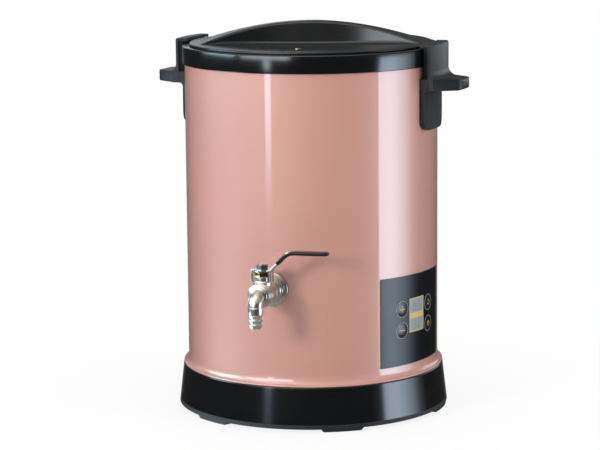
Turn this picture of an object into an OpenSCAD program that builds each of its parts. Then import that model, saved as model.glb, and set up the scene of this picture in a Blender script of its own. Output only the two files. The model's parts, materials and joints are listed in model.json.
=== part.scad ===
// Soap melter: a heated pot in a painted drum, with a ball tap, a curved panel and a lift-off lid.
// Origin on the floor at the drum's axis, +Z up. The tap points along -Y.
// Angles round the drum are counted from the tap towards +X.

/* [Drum] */
// Outer diameter of the painted shell
shell_d = 250; // [240:1:270]
// Height of the painted wall between the base and the rim ring
shell_h = 300; // [285:1:330]
// Sheet thickness of the shell
shell_t = 0.8; // [0.6:0.1:1.2]
// How far the bottom lip of the shell flares out
flare_w = 4; // [2:0.5:6]
// Height over which the lip flares
flare_h = 9; // [6:0.5:14]
// Radius of the rolled bead along the lip
bead_r = 0.9; // [0.7:0.1:1.2]

/* [Base] */
// Height of the base wall above the feet
base_h = 40; // [34:1:48]
// How much wider the base is at its foot
base_taper = 4.5; // [2:0.5:6]
// Wall thickness of the base
base_wall = 3; // [2:0.5:4]
// Thickness of the deck that carries the shell and the boards
deck_t = 3; // [2:0.5:4]
// Ledge that the base leaves outside the lip of the shell
base_ledge = 1.2; // [0.6:0.2:2]
// Height of the locating collar inside the shell
collar_h = 12; // [8:1:18]
// Number of feet
foot_count = 6; // [4:1:8]
// Height of the base wall above the floor
foot_h = 3.5; // [3:0.5:6]
// Width of one foot
foot_w = 42; // [36:1:50]
// Radial depth of one foot
foot_depth = 14; // [12:1:18]
// How far the rubber pad stands below its foot
pad_out = 0.8; // [0.5:0.1:1.5]
// Thickness of the rubber pad
pad_t = 2; // [1.8:0.1:2.6]
// Length of the rubber pad
pad_w = 28; // [20:1:32]
// Thickness of the bottom plate
plate_t = 1.5; // [1:0.25:2.5]

/* [Rim and pot] */
// Height of the rim ring
rim_h = 17.5; // [16:0.5:24]
// How far the rim ring stands out past the shell
rim_over = 2.2; // [1.5:0.1:3.5]
// Edge radius on top of the rim ring
rim_edge = 2; // [1:0.5:3]
// Thickness of the rim ring's web
web_t = 6; // [5:0.5:8]
// Gap between the outside of the shell and the inside of the pot
pot_gap = 17; // [16:0.5:22]
// Sheet thickness of the pot
pot_t = 0.8; // [0.6:0.1:1.2]
// Inside corner radius of the pot
pot_corner = 9; // [5:1:11]
// Width of the pot's flange
pot_flange = 10; // [8:1:11]
// Thickness of the silicone gasket below the pot's flange
gasket_t = 1; // [0.6:0.1:1.4]
// How far the pot's floor lies below the tap's axis
floor_drop = 12; // [11:0.5:16]
// Thickness of the insulation around the pot
wrap_t = 9; // [5:0.5:10]

/* [Heater] */
// How far the heater plate's edge lies inside the pot's wall
heater_edge = 16; // [10:1:28]
// Thickness of the heater plate
heater_t = 8; // [7:0.5:10]
// How far the heating tube's ring lies inside the heater plate's edge
coil_edge = 22; // [14:1:30]
// Radius of the heating tube
coil_r = 3.6; // [3:0.1:4]
// Radius of the stud below the pot
stud_r = 4; // [3:0.5:5]
// Length of the stud below the pot
stud_l = 18; // [17:0.5:21]

/* [Lid] */
// How far the lid's edge lies inside the face of the shell
lid_edge = 5; // [3:0.5:6]
// Wall thickness of the lid
lid_t = 1.8; // [1.5:0.1:2.5]
// Gap between the rim ring and the lid's edge
lid_gap = 0.6; // [0.4:0.1:1.2]
// Depth of the lid's dish
dish_h = 2; // [0.4:0.2:3]
// Depth of the collar that goes into the pot
lid_collar = 9; // [6:0.5:14]
// Turn of the lid from the tap's side
lid_at = 16; // [-20:1:20]
// Height of the arched grip above the lid's edge
grip_h = 20.8; // [16:0.2:24]
// Distance from the lid's edge to the end of the grip's ridge
grip_in = 12; // [9:1:20]
// Half length of the grip's straight part
grip_straight = 70; // [56:1:80]
// Half width of the grip's straight part
grip_half = 12; // [8:0.5:14]
// How much each side spreads from there to the end of the ridge
grip_spread = 24; // [10:1:26]
// Wall thickness of the grip
grip_wall = 3; // [2:0.5:4]
// Distance of the vent from the lid's centre
vent_at = 74; // [50:1:80]
// Distance of the vent to the side of the lid's front
vent_aside = -10; // [-20:1:20]
// Radius of the vent's flange
vent_r = 2.9; // [2.4:0.1:4]

/* [Handles] */
// Angle of the right handle from the tap
handle_at = 86.5; // [80:0.5:95]
// Half angle that a handle spans
handle_half = 12.2; // [10:0.1:14]
// Thickness of the pad on the shell
hpad_t = 5; // [4:0.5:7]
// Height of the pad below the flange
hpad_h = 39; // [32:1:46]
// How far the flange reaches out from the shell
hgrip_reach = 36; // [30:1:42]
// Half width of the flange at its tip
hgrip_tip = 17; // [14:1:24]
// Thickness of the flange
hgrip_t = 11; // [9:0.5:13]
// How far the flange lies below the rim ring
hgrip_drop = 11.5; // [9:0.5:16]
// How far the post stands out from the shell
post_out = 11.5; // [10:0.5:14]
// Thickness of the post's skin
post_skin = 2.6; // [2:0.2:4]
// How far the post rises above the rim ring
post_over = 4.4; // [3.2:0.1:5.5]

/* [Tap] */
// Height of the tap's axis above the foot of the shell
tap_up = 94.5; // [88:0.5:104]
// Distance from the shell to the tap's stem
stem_out = 28; // [27:0.5:44]
// Distance from the stem to the spout
spout_gap = 20.5; // [20:0.5:30]
// Radius of the ball
ball_r = 8; // [7:0.25:8.5]
// Radius of the way through the valve
way_r = 4.6; // [3.5:0.1:5]
// Wall thickness round the ball
valve_wall = 3; // [2.5:0.25:4]
// Radius of the threaded shank
shank_r = 8.4; // [8:0.1:9]
// Radius of the wall plate
rose_r = 16.5; // [15:0.5:19]
// Radius of the spout tube
spout_r = 6.3; // [6:0.1:7]
// Length of the spout below the tap's axis
spout_l = 28.5; // [24:0.5:32]
// Radius of the barb crests
barb_r = 6.7; // [6.5:0.1:7.2]
// Number of barbs
barb_count = 3; // [2:1:4]
// Radius of the stem
stem_r = 3; // [2.5:0.25:3.25]
// Length of the lever from the stem
lever_l = 65; // [58:1:80]
// Rise of the lever's arm
lever_rise = 17.5; // [12:0.5:22]
// Width of the lever's arm
lever_w = 8; // [7:0.5:12]
// Thickness of the lever's steel
lever_t = 2; // [1.8:0.1:3]
// Thickness of the lever's sleeve
sleeve_t = 0.9; // [0.8:0.1:2]

/* [Panel] */
// Angle of the panel's middle from the tap
panel_at = 71.5; // [64:0.5:74]
// Half angle that the panel spans
panel_half = 22.3; // [20:0.1:25]
// Height of the panel's foot above the foot of the shell
panel_up = 12.5; // [11:0.5:20]
// Height of the panel
panel_h = 87.5; // [80:0.5:92]
// Thickness of the panel
panel_t = 0.9; // [0.7:0.1:1.2]
// Angle of the buttons from the panel's middle
button_half = 10.1; // [9.6:0.1:11]
// Radius of a button
button_r = 7.2; // [6.5:0.1:7.6]
// Height of the buttons' middle above the foot of the shell
button_up = 57.5; // [54:0.5:60]
// Distance between the two rows of buttons
button_gap = 21; // [18:0.5:24]
// How far a button is pressed
button_travel = 0.8; // [0.5:0.1:1]
// Width of the display
display_w = 24; // [20:0.5:26]
// Height of the display
display_h = 33.5; // [30:0.5:36]
// Height of the display's middle above the foot of the shell
display_up = 60; // [58:0.5:62]

/* [Hidden] */
$fn = 96;

// Clearances
fit = 0.1;       // pieces that are screwed or glued together
slip = 0.25;     // pieces that are pushed together
run = 0.05;      // shaft in a bore

// Levels
shell_z = foot_h + base_h;
deck_z = shell_z - deck_t;
rim_z = shell_z + shell_h;
rim_top = rim_z + rim_h;
web_z = rim_top - web_t;
tap_z = shell_z + tap_up;
pot_z = tap_z - floor_drop;

// Radii of the drum
shell_r = shell_d / 2;
shell_in = shell_r - shell_t;
base_top_r = shell_r + flare_w + base_ledge;
base_foot_r = base_top_r + base_taper;
rim_r = shell_r + rim_over;
pot_r = shell_r - pot_gap;
pot_out = pot_r + pot_t;
flange_r = pot_r + pot_flange;
lid_r = shell_r - lid_edge;
heater_r = pot_r - heater_edge;
coil_d = 2 * (heater_r - coil_edge);

// Seat of the pot in the rim ring
seat_gap = 0.7;
pot_top = rim_top - seat_gap;
seat_z = pot_top - pot_t - gasket_t;
seat_r = flange_r + slip;
seat_side = 0.6;

// Fasteners
screw_r = 1.75;
screw_head_r = 3.4;
screw_head_h = 1.8;
boss_r = 4.5;

// Turned places round the drum
module at(angle) rotate([0, 0, angle]) children();

// A bar from radius a to radius b along the tap's side, at height z
module bar(r, a, b, z) translate([0, -a, z]) rotate([90, 0, 0]) cylinder(r = r, h = b - a);

// A ring round the drum's axis
module ring(r0, r1, z0, z1) rotate_extrude() translate([r0, z0]) square([r1 - r0, z1 - z0]);

// A part of a ring, centred on the tap's side
module sector(r0, r1, z0, z1, angle) {
    at(-90 - angle / 2)
        rotate_extrude(angle = angle)
            translate([r0, z0])
                square([r1 - r0, z1 - z0]);
}

// A six-sided prism across the flats w
module hex(w, h) cylinder(r = w / sqrt(3), h = h, $fn = 6);

// Points of an arc
function arc(c, r, a0, a1, n) = [for (i = [0:n]) let (a = a0 + (a1 - a0) * i / n) c + r * [cos(a), sin(a)]];

// Angle of an arc length at radius r
function spread(length, r) = length / r * 180 / PI;

// Base

pad_r0 = base_foot_r - foot_depth + 3;
pad_r1 = base_foot_r - 4;
plate_z = foot_h + 2.5;
plate_r = base_foot_r - base_wall - 2;
plate_boss_at = base_top_r - base_wall - boss_r - 6;
collar_r = shell_in - slip;
collar_t = 2.4;
board_at = 44;
board_size = [92, 62, 1.6];
board_lift = 6;
board_post_in = 5;
transformer_at = 24;
relay_at = [-20, 12];
terminal_at = [-20, -16.5];
post_count = 3;
post_at = heater_r - 8;
post_r = 3.5;
shield_z = shell_z + 42;
shield_t = 0.8;
leg_hole_r = 24;
stud_hole_r = 14;
wire_hole_r = 9;
gland_z = foot_h + base_h / 2;
gland_r = 6;
gland_flange = 9;
gland_t = 3;
cord_r = 3.8;
gland_seat_r = 11;
gland_seat = base_foot_r - 0.8;
gland_seat_t = 7;
gland_nut_t = 4.5;
gland_nut_w = 17;

module base_wall_shape() {
    edge = 1.5;
    rotate_extrude()
        polygon(concat([[0, shell_z]],
            arc([base_top_r - edge, shell_z - edge], edge, 90, 0, 4),
            [[base_foot_r, foot_h], [base_foot_r - base_wall, foot_h],
             [base_top_r - base_wall, deck_z], [0, deck_z]]));
}

module foot_shape() {
    slope = 3;
    root = 1.5;
    flank = slope * root / foot_h;
    inset = 0.3;
    intersection() {
        ring(base_foot_r - foot_depth, base_foot_r - inset, pad_out, foot_h + root);
        rotate([90, 0, 0])
            linear_extrude(base_foot_r + 1)
                polygon([[-foot_w / 2 - flank, foot_h + root], [-foot_w / 2 + slope, 0],
                    [foot_w / 2 - slope, 0], [foot_w / 2 + flank, foot_h + root]]);
    }
}

module round_feet() for (i = [0:foot_count - 1]) at(360 / foot_count * (i + 0.5)) children();

module plate_bosses() for (i = [0:3]) at(45 + 90 * i) translate([0, -plate_boss_at, 0]) children();

module board_corners() {
    out = board_size / 2 - board_post_in * [1, 1, 0];
    for (x = [-1, 1], y = [-1, 1])
        translate([x * out.x, board_at + y * out.y, 0]) children();
}

module shield_places() {
    for (i = [0:post_count - 1]) at(360 / post_count * i) translate([0, -post_at, 0]) children();
}

module base_housing() {
    color("#1b1c1f")
    difference() {
        union() {
            base_wall_shape();
            ring(collar_r - collar_t, collar_r, shell_z - deck_t / 2, shell_z + collar_h);
            round_feet() foot_shape();
            plate_bosses() translate([0, 0, plate_z + plate_t])
                cylinder(r = boss_r, h = deck_z - plate_z - plate_t + 1);
            board_corners() translate([0, 0, shell_z - 1]) cylinder(r = 3.5, h = board_lift + 1);
            at(180) bar(gland_seat_r, gland_seat - gland_seat_t, gland_seat, gland_z);
        }
        round_feet() sector(pad_r0 - fit, pad_r1 + fit, -1, pad_t, spread(pad_w + 2 * fit, pad_r1));
        plate_bosses() cylinder(r = screw_r + run, h = plate_z + plate_t + 9);
        at(180) bar(gland_r + fit, gland_seat - gland_seat_t - 10, gland_seat + 10, gland_z);
        translate([0, -post_at / 2, deck_z - 1]) cylinder(r = wire_hole_r, h = deck_t + 2);
    }
}

module bottom_plate() {
    slot = [4, 26];
    color("#2a2b2e")
    difference() {
        translate([0, 0, plate_z]) cylinder(r = plate_r, h = plate_t);
        plate_bosses() translate([0, 0, plate_z - 1]) cylinder(r = screw_r + slip, h = plate_t + 2);
        for (i = [0:17]) at(20 * i)
            translate([-slot.x / 2, -plate_r + 40, plate_z - 1]) cube([slot.x, slot.y, plate_t + 2]);
    }
}

module base_screws() {
    color("silver")
    plate_bosses() {
        translate([0, 0, plate_z - screw_head_h]) cylinder(r = screw_head_r, h = screw_head_h);
        translate([0, 0, plate_z - 0.2]) cylinder(r = screw_r, h = plate_t + 7);
    }
}

module foot_pads() {
    color("#3a3b3d")
    round_feet() sector(pad_r0, pad_r1, 0, pad_t - fit, spread(pad_w, pad_r1));
}

module cord_gland() {
    color("#242528")
    at(180) difference() {
        union() {
            bar(gland_flange, gland_seat, gland_seat + gland_t, gland_z);
            bar(gland_r, gland_seat - gland_seat_t - gland_nut_t - 1, gland_seat + 1, gland_z);
        }
        bar(cord_r, gland_seat - gland_seat_t - gland_nut_t - 2, gland_seat + gland_t + 1, gland_z);
    }
}

module gland_nut() {
    color("#2b2c2f")
    at(180) difference() {
        translate([0, -gland_seat + gland_seat_t + gland_nut_t, gland_z])
            rotate([90, 0, 0]) hex(gland_nut_w, gland_nut_t);
        bar(gland_r + run, gland_seat - gland_seat_t - gland_nut_t - 1, gland_seat, gland_z);
    }
}

// Drum

button_z = [shell_z + button_up + button_gap / 2, shell_z + button_up - button_gap / 2];
display_z = shell_z + display_up;
film_r0 = shell_r + run;
film_r1 = film_r0 + panel_t;
cap_slip = 0.25;
lens_edge = 1.2;
hgrip_top = rim_z - hgrip_drop;
hgrip_foot = hgrip_top - hgrip_t;
hpad_foot = hgrip_foot - hpad_h;
screw_zs = [hgrip_foot + hgrip_t / 2, hpad_foot + hpad_h * 0.4];
screw_reach = [13, hpad_t - 1.6];
screw_tip = [2, 0.4];

module handle_sides() for (a = [handle_at, handle_at + 180]) at(a) children();

module shell_wall() {
    n = 8;
    lip_z = shell_z + 2 * bead_r;
    flare = [for (i = [0:n]) let (a = 90 * i / n)
        [shell_r + flare_w * (1 - cos(a)), lip_z + flare_h * (1 - sin(a))]];
    inner = [for (i = [n - 1:-1:0]) let (a = 90 * i / n) flare[i] - shell_t * [cos(a), sin(a)]];
    bead = arc([shell_r + flare_w, shell_z + bead_r], bead_r, 80, -180, 13);
    rotate_extrude()
        polygon(concat([[shell_r, web_z - fit]], flare, bead, inner, [[shell_in, web_z - fit]]));
}

module outer_shell() {
    color("#cf988d")
    difference() {
        shell_wall();
        bar(shank_r + slip, shell_in - 4, shell_r + 4, tap_z);
        at(panel_at) {
            for (z = button_z, a = [-button_half, button_half])
                at(a) bar(button_r + cap_slip, shell_in - 4, shell_r + 4, z);
            translate([-display_w / 2 + lens_edge, -shell_r - 4, display_z - display_h / 2 + lens_edge])
                cube([display_w - 2 * lens_edge, 12, display_h - 2 * lens_edge]);
        }
        handle_sides() for (z = screw_zs) bar(screw_r + slip, shell_in - 4, shell_r + 4, z);
    }
}

module rim_ring() {
    skirt_in = shell_in - slip;
    skirt_t = 2.2;
    skirt_z = rim_z + 3;
    color("#1c1d20")
    rotate_extrude()
        polygon(concat(
            [[shell_r + slip, rim_z], [rim_r - 0.6, rim_z], [rim_r, rim_z + 0.8]],
            arc([rim_r - rim_edge, rim_top - rim_edge], rim_edge, 0, 90, 6),
            [[seat_r, rim_top], [seat_r, seat_z], [pot_out + seat_side, seat_z], [pot_out + seat_side, web_z],
             [skirt_in - skirt_t, web_z], [skirt_in - skirt_t, skirt_z], [skirt_in, skirt_z], [skirt_in, web_z],
             [shell_r + slip, web_z]]));
}

module inner_pot() {
    outer_corner = pot_corner + pot_t;
    way = way_r + 2;
    color("#c9ccd0")
    difference() {
        union() {
            rotate_extrude()
                polygon(concat([[0, pot_z]],
                    arc([pot_out - outer_corner, pot_z + outer_corner], outer_corner, -90, 0, 8),
                    [[pot_out, pot_top - pot_t], [flange_r, pot_top - pot_t],
                     [flange_r, pot_top], [pot_r, pot_top]],
                    arc([pot_r - pot_corner, pot_z + pot_t + pot_corner], pot_corner, 0, -90, 8),
                    [[0, pot_z + pot_t]]));
            translate([0, 0, pot_z - stud_l]) cylinder(r = stud_r, h = stud_l + pot_t / 2);
        }
        bar(way, pot_r - 6, pot_out + 2, tap_z);
    }
}

module pot_gasket() {
    color("#b9b9b4")
    ring(pot_out + seat_side, flange_r - 1, seat_z, seat_z + gasket_t);
}

socket_r = shank_r + 3.6;
socket_end = shell_in - 2;
shank_in = pot_out + 3;

module outlet_socket() {
    color("#aeb2b7")
    difference() {
        bar(socket_r, pot_r, socket_end, tap_z);
        cylinder(r = pot_out + run, h = rim_top);
        bar(shank_r + run, pot_r - 1, socket_end + 1, tap_z);
    }
}

tray_half = 28.5;
tray_top = shell_z + button_up + tray_half;

module insulation_wrap() {
    color("#d8d6cc")
    difference() {
        ring(pot_out + slip, pot_out + slip + wrap_t, tray_top + 2, web_z - 6);
        bar(socket_r + 1, pot_r - 1, shell_in, tap_z);
    }
}

// Heater

heater_top = pot_z - fit;
heater_z = heater_top - heater_t;
coil_gap = 30;
leg_l = 16;
cutout_at = heater_r / 2 - 6;
sensor_r = 3;

module coil_ends() for (s = [-1, 1]) at(s * coil_gap / 2) translate([0, -coil_d / 2, 0]) children();

module heater_plate() {
    color("#a9abad")
    difference() {
        translate([0, 0, heater_z]) cylinder(r = heater_r, h = heater_t);
        translate([0, 0, heater_z - 1]) cylinder(r = stud_r + slip, h = heater_t + 2);
        rotate_extrude() translate([coil_d / 2, heater_z]) circle(r = coil_r + fit);
        translate([-cutout_at, 0, heater_z - 1]) cylinder(r = sensor_r + run, h = heater_t - 1);
    }
}

module heater_tube() {
    color("#8d8f92")
    union() {
        at(-90 + coil_gap / 2)
            rotate_extrude(angle = 360 - coil_gap)
                translate([coil_d / 2, heater_z])
                    circle(r = coil_r);
        coil_ends() {
            translate([0, 0, heater_z - leg_l]) cylinder(r = coil_r, h = leg_l);
            translate([-0.4, -3, heater_z - leg_l - 8]) cube([0.8, 6, 9]);
        }
    }
}

module heater_nut() {
    nut_h = 6.5;
    washer_t = 1.6;
    color("silver")
    difference() {
        union() {
            translate([0, 0, heater_z - washer_t]) cylinder(r = stud_r * 2.2, h = washer_t);
            translate([0, 0, heater_z - washer_t - nut_h]) hex(stud_r * 3.25, nut_h);
        }
        translate([0, 0, heater_z - 20]) cylinder(r = stud_r + run, h = 21);
    }
}

module thermal_cutout() {
    can_h = 9;
    color("#3f3a33")
    translate([cutout_at, 0, 0]) {
        translate([0, 0, heater_z - can_h]) cylinder(r = 8, h = can_h);
        for (y = [-5, 5]) translate([-2, y - 0.4, heater_z - can_h - 7]) cube([4, 0.8, 7.5]);
    }
}

module pot_sensor() {
    color("#b98c4a")
    translate([-cutout_at, 0, 0]) {
        translate([0, 0, heater_z - 12]) cylinder(r = sensor_r, h = 12 + heater_t - 2.5);
        translate([0, 0, heater_z - 2]) cylinder(r = sensor_r + 2, h = 2);
    }
}

module heat_shield() {
    color("#b5b7b9")
    difference() {
        translate([0, 0, shield_z]) cylinder(r = post_at + 8, h = shield_t);
        translate([0, -coil_d / 2, shield_z - 1]) cylinder(r = leg_hole_r, h = shield_t + 2);
        translate([0, 0, shield_z - 1]) cylinder(r = stud_hole_r, h = shield_t + 2);
    }
}

module shield_posts() {
    color("#c2a25a")
    shield_places() translate([0, 0, shell_z]) cylinder(r = post_r, h = shield_z - shell_z);
}

// Boards in the foot of the drum

board_top = shell_z + board_lift + board_size.z;

module power_board() {
    color("#2f6b45")
    translate([-board_size.x / 2, board_at - board_size.y / 2, shell_z + board_lift]) cube(board_size);
}

module supply_transformer() {
    core = [30, 26, 22];
    wound = [22, 34, 16];
    color("#6b5a3a")
    translate([transformer_at, board_at, board_top]) {
        translate([-core.x / 2, -core.y / 2, 0]) cube(core);
        translate([-wound.x / 2, -wound.y / 2, 3]) cube(wound);
    }
}

module heater_relay() {
    case = [20, 16, 18];
    color("#2c4f8a")
    translate([relay_at.x, board_at + relay_at.y, board_top]) {
        translate([-case.x / 2, -case.y / 2, 0]) cube(case);
        translate([-case.x / 2 + 1, -case.y / 2 + 1, case.z - 0.5]) cube([case.x - 2, case.y - 2, 1]);
    }
}

module terminal_block() {
    ways = 3;
    pitch = 10;
    block = [ways * pitch, 15, 14];
    color("#4c8f56")
    translate([terminal_at.x, board_at + terminal_at.y, board_top]) difference() {
        translate([-block.x / 2, -block.y / 2, 0]) cube(block);
        for (i = [0:ways - 1])
            translate([(i - (ways - 1) / 2) * pitch, 0, 4]) cylinder(r = 2.6, h = block.z);
    }
}

// Panel

tray_side = shell_in * sin(button_half) + 12;
tray_z = shell_z + button_up - tray_half;
tray_back = shell_in - 14;
tray_wall = 2;
pcb_t = 1.6;
pcb_back = tray_back + tray_wall;
pcb_front = pcb_back + pcb_t;
stem_end = shell_in - 2.9;
collar_back = stem_end + 0.4;
collar_front = shell_in - 0.7;
key_top = stem_end * cos(button_half) - button_travel - 0.35;
key_h = 2.6;

module panel_film() {
    color("#121315")
    at(panel_at) difference() {
        sector(film_r0, film_r1, shell_z + panel_up, shell_z + panel_up + panel_h, 2 * panel_half);
        for (z = button_z, a = [-button_half, button_half])
            at(a) bar(button_r + cap_slip, shell_r - 4, shell_r + 4, z);
        translate([-display_w / 2 - fit, -shell_r - 4, display_z - display_h / 2 - fit])
            cube([display_w + 2 * fit, 12, display_h + 2 * fit]);
    }
}

module display_lens() {
    color("#cfe3e6")
    at(panel_at) intersection() {
        ring(film_r0, film_r1, display_z - display_h / 2, display_z + display_h / 2);
        translate([-display_w / 2, -shell_r - 4, display_z - display_h / 2]) cube([display_w, 12, display_h]);
    }
}

module panel_tray() {
    color("#303236")
    at(panel_at) difference() {
        intersection() {
            translate([-tray_side, -shell_r, tray_z]) cube([2 * tray_side, shell_r - tray_back, 2 * tray_half]);
            cylinder(r = shell_in - fit, h = rim_top);
        }
        translate([-tray_side + tray_wall, -shell_r, tray_z + tray_wall])
            cube([2 * (tray_side - tray_wall), shell_r - tray_back - tray_wall, 2 * (tray_half - tray_wall)]);
        bar(6, tray_back - 1, tray_back + tray_wall + 1, tray_z + tray_half);
    }
}

module control_board() {
    side = tray_side - tray_wall - fit;
    color("#2f6b45")
    at(panel_at)
        translate([-side, -pcb_front, tray_z + tray_wall + fit])
            cube([2 * side, pcb_t, 2 * (tray_half - tray_wall - fit)]);
}

module display_module() {
    w = display_w - 2 * lens_edge - 1;
    h = display_h - 2 * lens_edge - 1;
    color("#e9eef0")
    at(panel_at)
        translate([-w / 2, -pcb_front - 8, display_z - h / 2]) cube([w, 8, h]);
}

module key_places() {
    for (z = button_z, s = [-1, 1])
        at(panel_at) translate([s * stem_end * sin(button_half), -pcb_front, z]) rotate([90, 0, 0]) children();
}

module key_switches() {
    color("#47494d")
    key_places() {
        translate([-3, -3, 0]) cube([6, 6, key_h]);
        cylinder(r = 1.7, h = key_top - pcb_front);
    }
}

module panel_button(angle, z) {
    proud = 0.5;
    color("#17181a")
    at(panel_at + angle) {
        bar(button_r, collar_front - 0.5, film_r1 + proud, z);
        bar(button_r + 1, collar_back, collar_front, z);
        bar(2.2, stem_end, collar_back + 0.2, z);
    }
}

module plus_button() panel_button(-button_half, button_z[0]);

module minus_button() panel_button(-button_half, button_z[1]);

module power_button() panel_button(button_half, button_z[0]);

module timer_button() panel_button(button_half, button_z[1]);

// Handles

hpad_in = shell_r + fit;
hpad_out = shell_r + hpad_t;
hgrip_out = shell_r + hgrip_reach;
post_r1 = shell_r + post_out;
post_r0 = post_r1 - post_skin;
post_top = rim_top + post_over;
lip_t = 2.8;
lip_over = 2.3;
lip_in = rim_r - lip_over;
core_in = rim_r + 1.4;
handle_w = 2 * hpad_out * sin(handle_half);

module handle_profile() {
    under = 4;
    over = 8;
    edge = 3;
    nose = 2;
    polygon(concat(
        [[hpad_in, hpad_foot], [hpad_out, hpad_foot]],
        arc([hpad_out + under, hgrip_foot - under], under, 180, 90, 6),
        arc([hgrip_out - edge, hgrip_foot + edge], edge, -90, 0, 5),
        arc([hgrip_out - edge, hgrip_top - edge], edge, 0, 90, 5),
        arc([post_r1 + over, hgrip_top + over], over, -90, -180, 8),
        arc([post_r1 - nose, post_top - nose], nose, 0, 90, 4),
        [[lip_in, post_top], [lip_in, post_top - lip_t], [post_r0, post_top - lip_t],
         [post_r0, hgrip_top], [hpad_in, hgrip_top]]));
}

module handle_front() {
    foot_round = 11;
    half = handle_w / 2;
    wide = half + 4;
    rotate([90, 0, 0])
        linear_extrude(hgrip_out + 1)
            polygon(concat(
                [[-wide, post_top + 1], [-wide, hgrip_foot - 1], [-half, hgrip_foot - 1]],
                arc([-half + foot_round, hpad_foot + foot_round], foot_round, 180, 270, 8),
                arc([half - foot_round, hpad_foot + foot_round], foot_round, 270, 360, 8),
                [[half, hgrip_foot - 1], [wide, hgrip_foot - 1], [wide, post_top + 1]]));
}

module handle_plan() {
    corner = 10;
    half = post_r1 * sin(handle_half);
    slant = atan((half - hgrip_tip) / (hgrip_out - post_r1));
    translate([0, 0, hpad_foot - 1])
        linear_extrude(post_top - hpad_foot + 2)
            polygon(concat(
                [[-half, 0], [-half, -post_r1]],
                arc([-hgrip_tip + corner, -hgrip_out + corner], corner, 180 + slant, 270, 8),
                arc([hgrip_tip - corner, -hgrip_out + corner], corner, 270, 360 - slant, 8),
                [[half, -post_r1], [half, 0]]));
}

module handle() {
    color("#26272a")
    difference() {
        intersection() {
            at(-90 - handle_half) rotate_extrude(angle = 2 * handle_half) handle_profile();
            handle_front();
            handle_plan();
        }
        for (i = [0, 1])
            bar(screw_r + run, shell_r - 2, shell_r + screw_reach[i] + screw_tip[i], screw_zs[i]);
    }
}

module handle_core() {
    inset = 0.6;
    color("#333437")
    sector(core_in, post_r0 - fit, hgrip_top + fit, post_top - lip_t - fit, 2 * (handle_half - inset));
}

module right_handle() at(handle_at) handle();

module left_handle() at(handle_at + 180) handle();

module right_handle_core() at(handle_at) handle_core();

module left_handle_core() at(handle_at + 180) handle_core();

module handle_screws() {
    color("silver")
    handle_sides() {
        for (i = [0, 1]) {
            bar(screw_head_r, shell_in - screw_head_h - fit, shell_in - 0.15, screw_zs[i]);
            bar(screw_r, shell_in - 1, shell_r + screw_reach[i], screw_zs[i]);
        }
    }
}

// Lid

lid_top = rim_top + lid_gap + lid_t;
lid_collar_r = pot_r - 1;
lid_collar_t = 2;
dish_r = lid_collar_r - lid_collar_t;
liner_gap = 2.4;
liner_t = 0.6;
liner_top = lid_top - dish_h - lid_t - liner_gap;
liner_r = dish_r - slip;
liner_screw_at = 74;
grip_screw_at = 48;
grip_ridge = lid_r - grip_in;

function dish(r) = lid_top - dish_h * (1 - pow(min(r, dish_r) / dish_r, 2));

module liner_screws_at() for (i = [0:2]) at(60 + 120 * i) translate([0, -liner_screw_at, 0]) children();

module grip_screws_at() for (s = [-1, 1]) translate([s * grip_screw_at, 0, 0]) children();

module dish_solid(below) {
    n = 10;
    rotate_extrude()
        polygon(concat([for (i = [0:n]) [dish_r * i / n, dish(dish_r * i / n)]],
            [[lid_r, lid_top], [lid_r, below], [0, below]]));
}

module lid_cover() {
    n = 10;
    edge = 0.8;
    color("#1d1e21")
    at(lid_at) difference() {
        union() {
            rotate_extrude()
                polygon(concat(
                    [for (i = [0:n]) [dish_r * i / n, dish(dish_r * i / n)]],
                    arc([lid_r - edge, lid_top - edge], edge, 90, 0, 4),
                    [[lid_r, lid_top - lid_t], [lid_collar_r, lid_top - lid_t],
                     [lid_collar_r, lid_top - lid_t - lid_collar], [dish_r, lid_top - lid_t - lid_collar]],
                    [for (i = [n:-1:0]) [dish_r * i / n, dish(dish_r * i / n) - lid_t]]));
            liner_screws_at() translate([0, 0, liner_top])
                cylinder(r = boss_r, h = dish(liner_screw_at) - liner_top - lid_t / 2);
        }
        liner_screws_at() translate([0, 0, liner_top - 1]) cylinder(r = screw_r + run, h = 5);
        grip_screws_at() translate([0, 0, liner_top]) cylinder(r = screw_r + slip, h = 20);
        translate([vent_aside, -vent_at, liner_top]) cylinder(r = vent_r - 1.1, h = 20);
    }
}

module arch(half, rise) {
    foot = dish_h + 1;
    wide = 2 * (grip_half + 2 * grip_spread);
    r = (half * half + rise * rise) / (2 * rise);
    a = acos((r - rise - foot) / r);
    rotate([90, 0, 0])
        translate([0, 0, -wide / 2])
            linear_extrude(wide)
                polygon(arc([0, lid_top + rise - r], r, 90 - a, 90 + a, 24));
}

module grip_plan(less) {
    n = 10;
    past = 2;
    long = grip_ridge - grip_straight;
    side = [for (i = [0:n]) let (u = (long + past) * i / n)
        [grip_straight + u, grip_half + grip_spread * pow(u / long, 2) - less]];
    polygon(concat(
        side,
        [for (i = [n:-1:0]) [side[i][0], -side[i][1]]],
        [for (i = [0:n]) -side[i]],
        [for (i = [n:-1:0]) [-side[i][0], side[i][1]]]));
}

module grip_shape(less) {
    intersection() {
        arch(grip_ridge - 2 * less, grip_h - less);
        translate([0, 0, lid_top - dish_h - 2]) linear_extrude(grip_h + dish_h + 4) grip_plan(less);
    }
}

module lid_grip() {
    color("#1d1e21")
    at(lid_at) difference() {
        union() {
            difference() {
                grip_shape(0);
                grip_shape(grip_wall);
            }
            grip_screws_at() translate([0, 0, lid_top - dish_h])
                cylinder(r = boss_r, h = grip_h * 0.7 + dish_h);
        }
        dish_solid(lid_top - dish_h - 5);
        grip_screws_at() translate([0, 0, lid_top - dish_h - 2]) cylinder(r = screw_r + run, h = 14);
    }
}

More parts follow.
